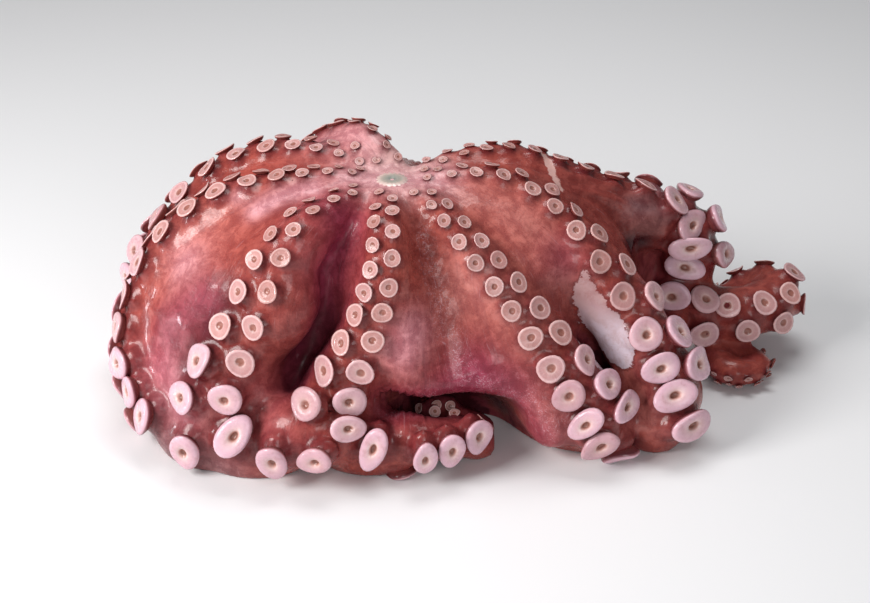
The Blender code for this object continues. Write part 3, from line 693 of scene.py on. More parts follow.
# %% [markdown]
# ## Growing them together
#
# Real skin has no seams between arm and web. A voxel remesh turns the overlapping shapes into
# one closed skin, and a little smoothing takes away the steps. This first skin is only there
# to be measured: the suckers are set down on it by casting a ray at it.

# %% A first skin to measure on
FIRST_VOXEL = 0.0024
SKIN_VOXEL = 0.0018


def grow_together(pieces, name, voxel, passes):
    skin = join(pieces, name)
    apply_modifier(skin, "REMESH", mode="VOXEL", voxel_size=voxel)
    apply_modifier(skin, "SMOOTH", factor=0.5, iterations=passes)
    return skin


def surface_of(item):
    return BVHTree.FromPolygons(
        [vertex.co for vertex in item.data.vertices],
        [face.vertices for face in item.data.polygons],
    )


skin = grow_together([model_web()] + [model_arm(name) for name in ARMS], "skin", FIRST_VOXEL, 4)
bare_skin = surface_of(skin)
print("the bare skin has", triangles(skin), "triangles")

# %% [markdown]
# ## Where the suckers sit
#
# Suckers come left and right of the line by turns. On the thick stretch of an arm they stand
# closer together than they are wide, so there each one is squeezed along the arm. Each is
# leaned outwards by its row, and a ray from outside finds the skin under it.

# %% Places of the suckers
FULL_LEAN = 0.018
SKIN_SHARE = 0.8
GROUND_REACH = 0.019
GROUND_TILT = 0.75
GAPS = [
    # width of a sucker, distance to the next one
    (0.0030, 0.0028), (0.0040, 0.0055), (0.0085, 0.0068), (0.0130, 0.0098), (0.0160, 0.0094),
    (0.0190, 0.0080), (0.0225, 0.0072),
]
random.seed(8)


class Sucker:
    """One sucker: where it stands, which way it faces, and how it is shaped."""

    def __init__(self, arm, spot, outwards, along, width, squeeze):
        self.arm = arm
        self.spot = spot
        self.outwards = outwards
        self.width = width
        self.squeeze = squeeze
        across = outwards.cross(along).normalized()
        self.turn = Matrix((across.cross(outwards), across, outwards)).transposed()


def row_offset(width, radius):
    """How far a sucker's middle stands from the line between the two rows."""
    return min(0.0012 + 0.42 * width, 0.0045 + 0.19 * width, 0.8 * radius)


def covered(spot, outwards, width):
    """How far skin would reach over a sucker's rim there, so that it can be raised clear."""
    across = outwards.orthogonal().normalized()
    highest = 0.0
    for number in range(8):
        rim = Matrix.Rotation(number * math.pi / 4, 3, outwards) @ across * (0.48 * width)
        start = spot + rim + outwards * 0.015
        _, _, _, depth = bare_skin.ray_cast(start, -outwards, 0.03)
        if depth is not None:
            highest = max(highest, 0.015 - depth)
    return min(max(0.0, highest - 0.12 * width), 0.30 * width)


def sucker_places(name):
    line, along, facing = LINES[name]
    places = distances(line)
    side = np.cross(along, facing)
    found = []
    place = 0.004
    row = 1
    while place < places[-1] - 0.003:
        width = float(along_arm(name, "suckers", place))
        radius = float(along_arm(name, "girth", place))
        gap = ARMS[name]["spacing"] * float(np.interp(width, *zip(*GAPS)))
        index = int(np.searchsorted(places, place))
        offset = row * row_offset(width, radius) * ARMS[name]["spread"][row < 0]
        lean = row * math.radians(ARMS[name]["lean"][row < 0]) * min(1.0, width / FULL_LEAN) ** 2
        outwards = Vector(facing[index] * math.cos(lean) + side[index] * math.sin(lean))
        above = Vector(line[index] + side[index] * offset + facing[index] * 0.012)
        squeeze = min(1.0, 1.95 * gap / width)
        hit, normal, _, _ = bare_skin.ray_cast(above, -Vector(facing[index]), 0.03)
        if hit is not None and len(found) not in ARMS[name].get("bare", ()):
            outwards = (outwards + SKIN_SHARE * normal).normalized()
            outwards.z -= GROUND_TILT * min(1.0, max(0.0, (GROUND_REACH - hit.z) / 0.010))
            outwards.normalize()
            low = 0.5 * width * math.sqrt(max(0.0, 1 - outwards.z**2))
            spot = hit + outwards * (0.05 * width + covered(hit, outwards, width))
            spot.z = max(spot.z, low * 0.98 + 0.001)
            size = width * random.uniform(0.93, 1.05)
            found.append(Sucker(name, spot, outwards, Vector(along[index]), size, squeeze))
        else:
            found.append(None)
        place += gap
        row = -row
    return [sucker for sucker in found if sucker is not None]


SUCKERS = [sucker for name in ARMS for sucker in sucker_places(name)]
print(len(SUCKERS), "suckers, the widest", round(max(sucker.width for sucker in SUCKERS), 4))

# %% [markdown]
# ## Stalks
#
# A sucker stands on a short muscular stalk, and the skin swells up round its foot. One stalk
# is modelled from a cone, with a wide foot and a waist, and copied under every sucker. The
# copies are grown into the final skin, which blends each foot softly into the arm.

# %% One stalk
STALK_FOOT = 0.54
STALK_DEPTH = 0.22


def model_stalk():
    """A stalk for a sucker one unit wide, with its foot under the skin."""
    stalk = add_circle(14, STALK_FOOT, (0.0, 0.0, -STALK_DEPTH), "NGON")
    for height, widen in ((0.19, 1.0), (0.06, 0.82), (0.06, 0.84), (0.09, 0.94)):
        bpy.ops.mesh.extrude_region_move(TRANSFORM_OT_translate={"value": (0.0, 0.0, height)})
        bpy.ops.transform.resize(value=(widen, widen, 1.0))
    finish_shape()
    return stalk


def copy_of(model):
    copy = model.copy()
    copy.data = model.data.copy()
    bpy.context.scene.collection.objects.link(copy)
    return copy


def set_down(item, sucker, height=0.0):
    """Moves the item to its sucker's place, sized and squeezed along the arm."""
    size = Matrix.Diagonal((sucker.width * sucker.squeeze, sucker.width, sucker.width, 1.0))
    spot = sucker.spot + sucker.outwards * height * sucker.width
    item.data.transform(Matrix.Translation(spot) @ sucker.turn.to_4x4() @ size)
    return item


stalk = model_stalk()
stalks = [set_down(copy_of(stalk), sucker) for sucker in SUCKERS]
bpy.data.objects.remove(stalk)
print(len(stalks), "stalks")

# %% [markdown]
# ## The skin
#
# Skin and stalks are grown together, finer this time, and everything below the ground is cut
# off flat, because the animal's weight presses it flat there.

# %% The skin, grown with its stalks
GROUND_GAP = 0.0002

skin = grow_together([skin] + stalks, "skin", SKIN_VOXEL, 3)
choose(skin)
bpy.ops.object.mode_set(mode="EDIT")
bpy.ops.mesh.select_all(action="SELECT")
bpy.ops.mesh.bisect(
    plane_co=(0.0, 0.0, GROUND_GAP), plane_no=(0.0, 0.0, 1.0), use_fill=True, clear_inner=True
)
bpy.ops.object.mode_set(mode="OBJECT")
print("the skin has", triangles(skin), "triangles")

# %% [markdown]
# ## Wrinkles
#
# Wet skin is never smooth. It has soft lumps a centimetre across, and where a web hangs slack
# it pleats from top to bottom. Both are moved into the mesh itself, so that they show at the
# outline too. The lumps come from smooth noise, the pleats from a wave round the mouth.

# %% Lumps and pleats in the skin
LUMP_HEIGHT = 0.0007
PLEATS = (
    # where, how far it reaches, how high the pleats stand, pleats in a full turn
    ((0.074, 0.006, 0.098), 0.034, 0.0012, 120.0),
    ((-0.020, -0.056, 0.098), 0.026, 0.0005, 150.0),
    ((-0.034, -0.076, 0.042), 0.020, 0.0009, 130.0),
    ((0.004, 0.060, 0.075), 0.055, 0.0008, 90.0),
    ((-0.062, -0.056, 0.098), 0.030, 0.0004, 120.0),
)


def corners_of(item):
    points = np.empty(len(item.data.vertices) * 3, np.float32)
    item.data.vertices.foreach_get("co", points)
    return points.reshape(-1, 3)


def move_corners(item, points):
    item.data.vertices.foreach_set("co", points.astype(np.float32).ravel())
    item.data.update()


def normals_of(item):
    normals = np.empty(len(item.data.vertices) * 3, np.float32)
    item.data.vertex_normals.foreach_get("vector", normals)
    return normals.reshape(-1, 3)


def near(points, places, reach):
    """1 on the line through the places, falling smoothly to 0 at about twice the reach."""
    places = np.array(places, float).reshape(-1, 3)
    best = np.full(len(points), np.inf)
    for start, end in zip(places[:-1], places[1:]):
        way = end - start
        share = np.clip((points - start) @ way / max(way @ way, 1e-12), 0.0, 1.0)
        best = np.minimum(best, np.linalg.norm(points - start - share[:, None] * way, axis=1))
    if len(places) == 1:
        best = np.linalg.norm(points - places[0], axis=1)
    return np.exp(-((best / reach) ** 2))


def smooth_noise(points, size, seed):
    """Soft noise with lumps of that size, from -1 to 1."""
    shift = Vector((seed * 3.1, seed * 1.7, seed * 2.3))
    return np.array([noise.noise(Vector(point) / size + shift) for point in points])


def wrinkle(item):
    points = corners_of(item)
    out = smooth_noise(points, 0.016, 1) + 0.5 * smooth_noise(points, 0.007, 2)
    height = LUMP_HEIGHT * out
    turn = np.arctan2(points[:, 1] - MOUTH[1], points[:, 0] - MOUTH[0])
    sway = smooth_noise(points, 0.020, 3)
    for place, reach, tall, count in PLEATS:
        wave = np.sin(turn * count + 5.0 * sway)
        height += tall * near(points, place, reach) * wave
    on_ground = points[:, 2] < 0.001
    height[on_ground] = 0.0
    points += normals_of(item) * height[:, None]
    points[:, 2] = np.maximum(points[:, 2], GROUND_GAP)
    move_corners(item, points)


wrinkle(skin)
choose(skin)
bpy.ops.object.shade_smooth()
print("the skin reaches", round(float(corners_of(skin)[:, 2].max()), 4), "m up")

# %% [markdown]
# ## Painting the skin
#
# A raw octopus isn't one colour. The crown round the mouth is cream and pink, the arms are red
# brown, full bulges are paler and more orange, folds are wine red, and the skin that was pressed
# is grey. Light and shade are painted in as well: folds, holes and hollows are darkened to nearly
# black, the ring round each sucker's foot is darkened partly as shade, and a few bulges, edges and
# wet patches get painted highlights. An attribute holds the colour at each corner of the mesh:
# first by what the skin is, then by blushes laid down one after another like thin paint, then by
# the painted shade of the hollows and of the suckers' feet.

# %% Colours of the skin
BROWN = (0.36, 0.074, 0.057)
WEB_BROWN = (0.34, 0.067, 0.053)
CREAM = (0.76, 0.50, 0.48)
PALE_PINK = (0.72, 0.38, 0.42)
PEACH = (0.60, 0.21, 0.185)
PINK = (0.58, 0.18, 0.24)
SOFT_PINK = (0.66, 0.27, 0.31)
ROSE_BROWN = (0.40, 0.095, 0.100)
WINE = (0.28, 0.034, 0.078)
PLUM = (0.28, 0.055, 0.080)
# Painted shade: the near black below is laid only where light can't reach, deep in folds and holes
# and in the cave under the front hem.
SHADE_BLACK = (0.050, 0.005, 0.010)
# Painted shade: the dark brown below darkens shaded skin on a flank beside the front valley, in a
# crease, in the cavity between the right arms and on the web under the rear right arm.
SHADE_BROWN = (0.19, 0.042, 0.038)
GREY_BROWN = (0.22, 0.11, 0.12)
GREY = (0.20, 0.16, 0.18)
STALK_RED_AND_SHADE = (0.15, 0.020, 0.026)
SCAR = (0.68, 0.42, 0.38)

BLUSHES = (
    # colour, how strong, how far it reaches, the line that it lies along
    (CREAM, 0.95, 0.017, [(-0.037, -0.018, 0.126)]),
    (CREAM, 0.60, 0.012, [(-0.030, -0.012, 0.124), (-0.024, -0.008, 0.122)]),
    (PALE_PINK, 0.65, 0.013, [
        (-0.057, -0.024, 0.126), (-0.037, -0.026, 0.125), (-0.014, -0.022, 0.126),
    ]),
    (PALE_PINK, 0.55, 0.014, [
        (-0.048, 0.000, 0.137), (-0.064, 0.008, 0.136), (-0.076, 0.014, 0.128),
    ]),
    # The left bulge: peach and pale pink, partly its own paler colour and partly a painted
    # highlight where the light falls on it.
    (PEACH, 0.38, 0.018, [
        (-0.122, -0.040, 0.106), (-0.130, -0.044, 0.098), (-0.140, -0.052, 0.084),
    ]),
    (PALE_PINK, 0.55, 0.012, [(-0.134, -0.047, 0.092)]),
    (PLUM, 0.72, 0.012, [(-0.126, -0.064, 0.080), (-0.140, -0.058, 0.066)]),
    (PINK, 0.70, 0.017, [(-0.146, -0.064, 0.044), (-0.142, -0.080, 0.034)]),
    (PALE_PINK, 0.60, 0.013, [(-0.144, -0.080, 0.036)]),
    # Painted shade: near black deep in the crease below the left bulge.
    (SHADE_BLACK, 0.90, 0.012, [
        (-0.116, -0.069, 0.082), (-0.124, -0.074, 0.066), (-0.130, -0.078, 0.054),
    ]),
    (PLUM, 0.80, 0.012, [
        (-0.122, -0.064, 0.084), (-0.132, -0.062, 0.074), (-0.140, -0.062, 0.062),
    ]),
    # A painted highlight: a thin pale line along the top edge of the left bulge, where it catches
    # the light.
    (PALE_PINK, 0.80, 0.006, [
        (-0.100, -0.040, 0.118), (-0.088, -0.035, 0.123), (-0.074, -0.032, 0.126),
    ]),
    (ROSE_BROWN, 0.5, 0.012, [(-0.076, -0.048, 0.119), (-0.080, -0.066, 0.108)]),
    # Painted shade down the valley beside the front arm: the fold's wine red deepened, near black
    # lower down, and dark brown on the shaded flank beside it.
    (WINE, 0.90, 0.016, [
        (-0.062, -0.050, 0.116), (-0.068, -0.058, 0.100), (-0.074, -0.062, 0.080),
    ]),
    (SHADE_BLACK, 0.90, 0.015, [
        (-0.075, -0.058, 0.068), (-0.080, -0.058, 0.050), (-0.082, -0.062, 0.028),
    ]),
    (SHADE_BROWN, 0.60, 0.014, [
        (-0.086, -0.066, 0.096), (-0.090, -0.074, 0.074), (-0.094, -0.080, 0.052),
    ]),
    (SHADE_BLACK, 0.75, 0.010, [
        (-0.080, -0.062, 0.078), (-0.084, -0.066, 0.058), (-0.086, -0.068, 0.036),
    ]),
    (ROSE_BROWN, 0.85, 0.016, [(-0.098, -0.086, 0.040), (-0.090, -0.092, 0.022)]),
    (SOFT_PINK, 0.80, 0.012, [(-0.030, -0.082, 0.066), (-0.026, -0.079, 0.073)]),
    (WINE, 0.70, 0.012, [(-0.036, -0.082, 0.036), (-0.018, -0.082, 0.040), (0.000, -0.080, 0.044)]),
    (WINE, 0.75, 0.016, [(0.004, -0.078, 0.052), (0.020, -0.080, 0.040), (0.036, -0.084, 0.022)]),
    # Painted shade: a faint dark line in the crease between the front arm and the front right arm.
    (SHADE_BROWN, 0.28, 0.007, [
        (-0.024, -0.048, 0.114), (-0.018, -0.060, 0.096), (-0.012, -0.068, 0.072),
    ]),
    (PEACH, 0.65, 0.011, [(-0.002, -0.058, 0.100), (0.000, -0.066, 0.084)]),
    (PEACH, 0.45, 0.014, [(0.010, -0.064, 0.086), (0.022, -0.068, 0.070)]),
    (PEACH, 0.55, 0.013, [(0.004, -0.030, 0.121), (0.022, -0.036, 0.113)]),
    (PEACH, 0.50, 0.014, [(0.030, -0.040, 0.108), (0.042, -0.046, 0.094)]),
    # Painted shade: dark brown down the cavity between the two right front arms.
    (SHADE_BROWN, 0.70, 0.012, [
        (0.050, -0.036, 0.082), (0.058, -0.034, 0.060), (0.062, -0.034, 0.030),
    ]),
    (WINE, 0.50, 0.012, [(0.044, -0.044, 0.094)]),
    # Painted shade: dark brown on the web that hangs in the shadow of the rear right arm, near
    # black in its deepest fold.
    (SHADE_BROWN, 0.60, 0.020, [
        (0.050, 0.006, 0.112), (0.070, 0.010, 0.100), (0.084, 0.010, 0.082),
    ]),
    (SHADE_BLACK, 0.45, 0.011, [(0.089, 0.010, 0.070), (0.090, 0.012, 0.050)]),
    (GREY, 0.50, 0.007, [(0.084, 0.006, 0.096), (0.096, 0.012, 0.090)]),
    # Painted shade: near black in the hole beside it.
    (SHADE_BLACK, 0.95, 0.0065, [(0.080, -0.001, 0.077), (0.088, 0.005, 0.076)]),
    (ROSE_BROWN, 0.60, 0.012, [(0.098, 0.021, 0.056), (0.100, 0.022, 0.040)]),
    # A painted highlight: a pale wet patch on top of the rear right arm.
    (PALE_PINK, 0.85, 0.007, [(0.096, 0.026, 0.098), (0.106, 0.033, 0.093), (0.115, 0.031, 0.089)]),
    (PALE_PINK, 0.45, 0.005, [(-0.110, -0.031, 0.120)]),
    (PEACH, 0.50, 0.012, [(0.040, -0.083, 0.034), (0.052, -0.085, 0.022)]),
    # Painted shade: near black inside the cave under the front hem.
    (SHADE_BLACK, 0.85, 0.012, [(-0.026, -0.046, 0.024), (0.000, -0.042, 0.020), (0.016, -0.044, 0.012)]),
    (GREY_BROWN, 0.85, 0.018, [
        (-0.152, -0.074, 0.010), (-0.136, -0.090, 0.006), (-0.120, -0.096, 0.005),
    ]),
    (PEACH, 0.60, 0.014, [(0.079, -0.068, 0.038), (0.084, -0.071, 0.028)]),
)
ARM_REACH = 0.013
SKY_WAYS = 14
SKY_REACH = 0.045
FOOT_REACH = 0.62


def layer(colours, paint, share):
    return colours + (np.array(paint) - colours) * share[:, None]


def shut_in(item, points):
    """How much of the sky over each corner is hidden by skin within a finger's breadth."""
    tree = BVHTree.FromObject(item, bpy.context.evaluated_depsgraph_get())
    ways = []
    for number in range(SKY_WAYS):
        height = (number + 0.5) / SKY_WAYS
        turn = number * 2.39996
        level = math.sqrt(1 - height**2)
        ways.append(Vector((level * math.cos(turn), level * math.sin(turn), height)))
    hidden = np.zeros(len(points))
    for number, (point, normal) in enumerate(zip(points, normals_of(item))):
        normal = Vector(normal)
        start = Vector(point) + normal * 0.0015
        seen = 0.0
        for way in ways:
            facing = way.dot(normal)
            if facing <= 0.0:
                continue
            seen += facing
            if tree.ray_cast(start, way, SKY_REACH)[0] is not None:
                hidden[number] += facing
        hidden[number] = hidden[number] / seen if seen else 1.0
    return hidden


def paint_skin(item):
    points = corners_of(item).astype(float)
    colours = np.tile(WEB_BROWN, (len(points), 1))
    for name, (line, _, _) in LINES.items():
        tree = KDTree(len(line))
        for index, point in enumerate(line):
            tree.insert(point, index)
        tree.balance()
        gaps = np.array([tree.find(point)[2] for point in points])
        colours = layer(colours, BROWN, np.exp(-((gaps / ARM_REACH) ** 2)))
    for paint, strength, reach, places in BLUSHES:
        colours = layer(colours, paint, strength * near(points, places, reach))
    hidden = shut_in(item, points)
    # Painted shade: where nearby skin hides much of the sky over a corner, the colour goes wine
    # red, and where it hides most of it, nearly black.
    colours = layer(colours, WINE, 0.60 * np.clip(1.5 * hidden - 0.40, 0.0, 1.0))
    colours = layer(colours, SHADE_BLACK, 0.90 * np.clip(2.6 * hidden - 1.62, 0.0, 1.0))
    # The dark red ring round each sucker's foot is partly the stalk's own colour and partly painted
    # shade where the cup hangs over the skin.
    feet = KDTree(len(SUCKERS))
    for index, sucker in enumerate(SUCKERS):
        feet.insert(sucker.spot, index)
    feet.balance()
    foot = np.zeros(len(points))
    for number, point in enumerate(points):
        _, index, gap = feet.find(point)
        foot[number] = math.exp(-((gap / (FOOT_REACH * SUCKERS[index].width)) ** 4))
    colours = layer(colours, STALK_RED_AND_SHADE, 0.88 * foot)
    return points, colours, foot, hidden


points, colours, foot, hidden = paint_skin(skin)


def store(item, name, kind, values):
    """Values at the mesh's corners, under a name that a material can read."""
    held = item.data.attributes.new(name, kind, "POINT")
    key = {"FLOAT": "value", "FLOAT_COLOR": "color", "FLOAT_VECTOR": "vector"}[kind]
    held.data.foreach_set(key, np.asarray(values, np.float32).ravel())


store(skin, "tint", "FLOAT_COLOR", np.hstack([colours, np.ones((len(colours), 1))]))
store(skin, "foot", "FLOAT", foot)
store(skin, "hollow", "FLOAT", hidden)
print("painted", len(points), "corners")

# %% [markdown]
# ## Marks with sharp edges
#
# Some marks end at a clean edge: the torn patch where the red skin is gone and white flesh
# shows, and a pale strip like a healed cut. A colour on the mesh's corners would blur them, so
# the mesh holds the distance to the mark's edge instead, and the finish draws the edge there.
# "speck" is the distance to two small dark pits. One more attribute says where folds rub
# against each other, which leaves many fine pale scratches, and where the front hem gets the same
# pale marks as painted glints.

# %% Distance to the torn patch, to the pale strip and to the specks
TORN = [
    (0.055, -0.048, 0.089), (0.057, -0.048, 0.074), (0.063, -0.052, 0.061), (0.069, -0.056, 0.051),
    (0.072, -0.059, 0.044),
]
TORN_WIDTHS = [0.0010, 0.0066, 0.0112, 0.0114, 0.0065]
STRIP = [(0.038, 0.010, 0.123), (0.041, 0.002, 0.119), (0.046, -0.008, 0.113)]
STRIP_WIDTHS = [0.0020, 0.0022, 0.0016]
SPECKS = [(-0.101, -0.030, 0.124), (-0.084, -0.028, 0.127)]
# Lines where folds rub on the creases, and along the front hem: the pale marks along them are real
# scratches on the creases and painted glints on the hem.
WEAR_AND_GLINT_LINES = (
    # how far it reaches, the line that it lies along
    (0.0055, [(-0.022, -0.052, 0.110), (-0.018, -0.059, 0.096), (-0.011, -0.069, 0.069)]),
    (0.0070, [(-0.011, -0.069, 0.069), (0.001, -0.078, 0.047), (0.020, -0.078, 0.036)]),
    (0.0060, [(-0.038, -0.080, 0.032), (-0.028, -0.082, 0.036), (-0.014, -0.080, 0.040)]),
    (0.0080, [(0.024, -0.078, 0.040), (0.042, -0.086, 0.020)]),
)


def edge_distance(points, places, widths):
    """How far each point lies outside a band along the places, in metres."""
    best = np.full(len(points), np.inf)
    for start, end, wide, wider in zip(places, places[1:], widths, widths[1:]):
        start, end = np.array(start), np.array(end)
        way = end - start
        share = np.clip((points - start) @ way / (way @ way), 0.0, 1.0)
        gap = np.linalg.norm(points - start - share[:, None] * way, axis=1)
        best = np.minimum(best, gap - wide - share * (wider - wide))
    return best


store(skin, "torn", "FLOAT", edge_distance(points, TORN, TORN_WIDTHS))
store(skin, "strip", "FLOAT", edge_distance(points, STRIP, STRIP_WIDTHS))
to_specks = [np.linalg.norm(points - spot, axis=1) for spot in SPECKS]
store(skin, "speck", "FLOAT", np.min(to_specks, axis=0))
wear_and_glint_masks = [near(points, places, reach) for reach, places in WEAR_AND_GLINT_LINES]
store(skin, "worn", "FLOAT", np.max(wear_and_glint_masks, axis=0))

# %% [markdown]
# ## Suckers
#
# A sucker is a muscular cup: a thin rim, a ring-shaped face, and a dimple in its middle. On
# the small ones the face is flat behind a raised rim; on the largest the whole ring swells.
# Each kind is modelled once from a circle, extruded and resized row by row as on a lathe, and
# then copied. Every row also gets a number from 0 at the stalk to 1 in the dimple, so that
# the finish can find rim, face and dimple on every copy.

# %% Three kinds of sucker
SMALL_ROWS = (
    # radius, height, place from stalk to dimple
    (0.34, -0.16, 0.00), (0.46, -0.06, 0.20), (0.50, 0.00, 0.34), (0.485, 0.026, 0.42),
    (0.445, 0.028, 0.50), (0.41, 0.010, 0.58), (0.20, 0.008, 0.80), (0.115, -0.020, 0.92),
)
MIDDLE_ROWS = (
    (0.34, -0.17, 0.00), (0.43, -0.10, 0.12), (0.485, -0.04, 0.25), (0.50, 0.00, 0.34),
    (0.490, 0.026, 0.41), (0.455, 0.036, 0.48), (0.41, 0.026, 0.56), (0.31, 0.022, 0.66),
    (0.215, 0.022, 0.77), (0.160, 0.012, 0.84), (0.120, -0.012, 0.90), (0.070, -0.030, 0.96),
)
LARGE_ROWS = (
    (0.36, -0.20, 0.00), (0.44, -0.13, 0.12), (0.490, -0.05, 0.25), (0.50, 0.00, 0.34),
    (0.490, 0.035, 0.41), (0.455, 0.062, 0.48), (0.39, 0.078, 0.56), (0.30, 0.084, 0.66),
    (0.210, 0.078, 0.76), (0.150, 0.060, 0.83), (0.115, 0.030, 0.88), (0.085, -0.020, 0.94),
    (0.045, -0.035, 0.98),
)


def model_sucker(name, sides, rows):
    """A sucker one unit wide that faces up, with the rows' numbers in "zone"."""
    radius, height, _ = rows[0]
    model = add_circle(sides, radius, (0.0, 0.0, height))
    model.name = name
    turn_rows(rows)
    finish_shape()
    bpy.ops.object.shade_smooth()
    places = corners_of(model).astype(float)
    radii = np.hypot(places[:, 0], places[:, 1])
    zones = np.ones(len(places))
    for radius, height, zone in rows:
        near_row = np.hypot(radii - radius, places[:, 2] - height) < 0.001
        zones[near_row] = zone
    spokes = places / np.maximum(radii, 0.001)[:, None]
    spokes[:, 2] = 0.0
    store(model, "zone", "FLOAT", zones)
    store(model, "spoke", "FLOAT_VECTOR", spokes)
    print(name, "has", triangles(model), "triangles")
    return model


sucker_models = {
    "small": model_sucker("small_sucker", 12, SMALL_ROWS),
    "middle": model_sucker("middle_sucker", 18, MIDDLE_ROWS),
    "large": model_sucker("large_sucker", 24, LARGE_ROWS),
}

# %% [markdown]
# No two suckers are alike. Each copy is tipped a little, its rim bends and waves, its dimple
# sits off the middle, and it carries its own shade. "tone" says how far it is from the small
# flat kind to the large swollen kind, so that the colour changes gradually down an arm.

# %% Setting the suckers down
SMALL_UNDER = 0.0085
LARGE_OVER = 0.0155
CUP_HEIGHT = 0.24
CUP_GROUND_GAP = 0.0003
SWELLING = (0.012, 0.019)
TIPPED = 0.09


def vary(points):
    """Tips, bends and waves one sucker, given its points in units of its width."""
    turn = np.arctan2(points[:, 1], points[:, 0])
    radii = np.hypot(points[:, 0], points[:, 1])
    two, three = random.uniform(0, 6.28), random.uniform(0, 6.28)
    swell = 1 + 0.035 * np.cos(2 * turn + two) + 0.025 * np.cos(3 * turn + three)
    points[:, :2] *= swell[:, None]
    wave = 0.035 * np.cos(2 * turn + three) + 0.018 * np.cos(3 * turn + two)
    points[:, 2] += wave * (radii / 0.5) ** 2 * random.uniform(0.3, 1.2)
    inner = np.clip(1 - radii / 0.4, 0, 1)
    points[:, 0] += inner * random.uniform(-0.05, 0.05)
    points[:, 1] += inner * random.uniform(-0.05, 0.05)
    sideways = Matrix.Rotation(random.gauss(0.0, TIPPED), 3, "X")
    lengthways = Matrix.Rotation(random.gauss(0.0, TIPPED), 3, "Y")
    return points @ np.array(sideways @ lengthways).T


def place_cup(sucker):
    if sucker.width < SMALL_UNDER:
        kind = "small"
    elif sucker.width < LARGE_OVER:
        kind = "middle"
    else:
        kind = "large"
    copy = copy_of(sucker_models[kind])
    move_corners(copy, vary(corners_of(copy).astype(float)))
    points = corners_of(set_down(copy, sucker, CUP_HEIGHT))
    points[:, 2] = np.maximum(points[:, 2], CUP_GROUND_GAP)
    move_corners(copy, points)
    count = len(points)
    tone = float(np.interp(sucker.width, SWELLING, (0.0, 1.0))) + random.uniform(-0.12, 0.12)
    store(copy, "tone", "FLOAT", np.full(count, tone))
    store(copy, "shade", "FLOAT", np.full(count, random.uniform(-1, 1)))
    return copy


sucker_pieces = []
for name in ARMS:
    cups = [place_cup(sucker) for sucker in SUCKERS if sucker.arm == name]
    piece = join(cups, "suckers_" + name)
    sucker_pieces.append(piece)
    print(piece.name, triangles(piece), "triangles")
for model in sucker_models.values():
    bpy.data.objects.remove(model)

# %% [markdown]
# ## The mouth
#
# The mouth is a small round opening in a puckered lip, with grey-green skin drawn across the
# beak inside. A circle is extruded inwards ring by ring and laid on the skin. Every second
# corner of the lip is lifted and the others are lowered, like the pleats of a drawn purse.

# %% The mouth
MOUTH_ROWS = (
    # radius, height, place from lip to middle
    (0.0088, -0.0016, 0.0), (0.0074, -0.0004, 0.2), (0.0060, 0.0001, 0.4), (0.0050, -0.0001, 0.55),
    (0.0038, -0.0006, 0.7), (0.0022, -0.0008, 0.85),
)
MOUTH_SIDES = 36
MOUTH_SPOT = Vector((-0.0365, -0.0240, 0.1262))
LIP_RADIUS = 0.0066
LIP_PLEAT = 0.00035


def model_mouth():
    spot = MOUTH_SPOT
    radius, height, _ = MOUTH_ROWS[0]
    mouth = add_circle(MOUTH_SIDES, radius, spot + Vector((0, 0, height)))
    mouth.name = "mouth"
    turn_rows(MOUTH_ROWS, center_override=spot)
    finish_shape()
    bpy.ops.object.shade_smooth()
    places = corners_of(mouth).astype(float) - np.array(spot)
    radii = np.hypot(places[:, 0], places[:, 1])
    turn = np.arctan2(places[:, 1], places[:, 0])
    lip = np.exp(-(((radii - LIP_RADIUS) / 0.0018) ** 2))
    places[:, 2] = LIP_PLEAT * np.cos(turn * MOUTH_SIDES / 2) * lip
    profile = [-0.0004, 0.0006, 0.0006, -0.0006]
    places[:, 2] += np.interp(radii, [0.0, 0.0020, 0.0060, 0.0088], profile)
    ground = surface_of(skin)
    for place in places:
        above = spot + Vector((place[0], place[1], 0.02))
        below, _, _, _ = ground.ray_cast(above, Vector((0, 0, -1)))
        place[2] += below.z - spot.z
    move_corners(mouth, places + np.array(spot))
    store(mouth, "zone", "FLOAT", np.interp(-radii, [-0.0088, 0.0], [0.0, 1.0]))
    return mouth


mouth = model_mouth()
print("the mouth has", triangles(mouth), "triangles")

# %% [markdown]
# ## Writing materials as sums
#
# A material is a network of nodes, but most of it is arithmetic: this colour times that noise,
# less a mask. The small class below wraps a node's socket so that the arithmetic can be
# written as Python does it, and one method adds any other node.

# %% Shader sums
class Wire:
    """A node's output socket. Arithmetic on it adds Math nodes."""

    def __init__(self, finish, socket):
        self.finish = finish
        self.socket = socket

    def _math(self, operation, *values):
        inputs = dict(enumerate(values))
        return self.finish.node("ShaderNodeMath", {"operation": operation}, inputs)

    def __add__(self, other):
        return self._math("ADD", self, other)

    __radd__ = __add__

    def __sub__(self, other):
        return self._math("SUBTRACT", self, other)

    def __rsub__(self, other):
        return self._math("SUBTRACT", other, self)

    def __mul__(self, other):
        return self._math("MULTIPLY", self, other)

    __rmul__ = __mul__

    def between(self, low, high):
        """0 below low, 1 above high, smooth in between."""
        inputs = {"Value": self, "From Min": low, "From Max": high}
        settings = {"interpolation_type": "SMOOTHSTEP"}
        return self.finish.node("ShaderNodeMapRange", settings, inputs)


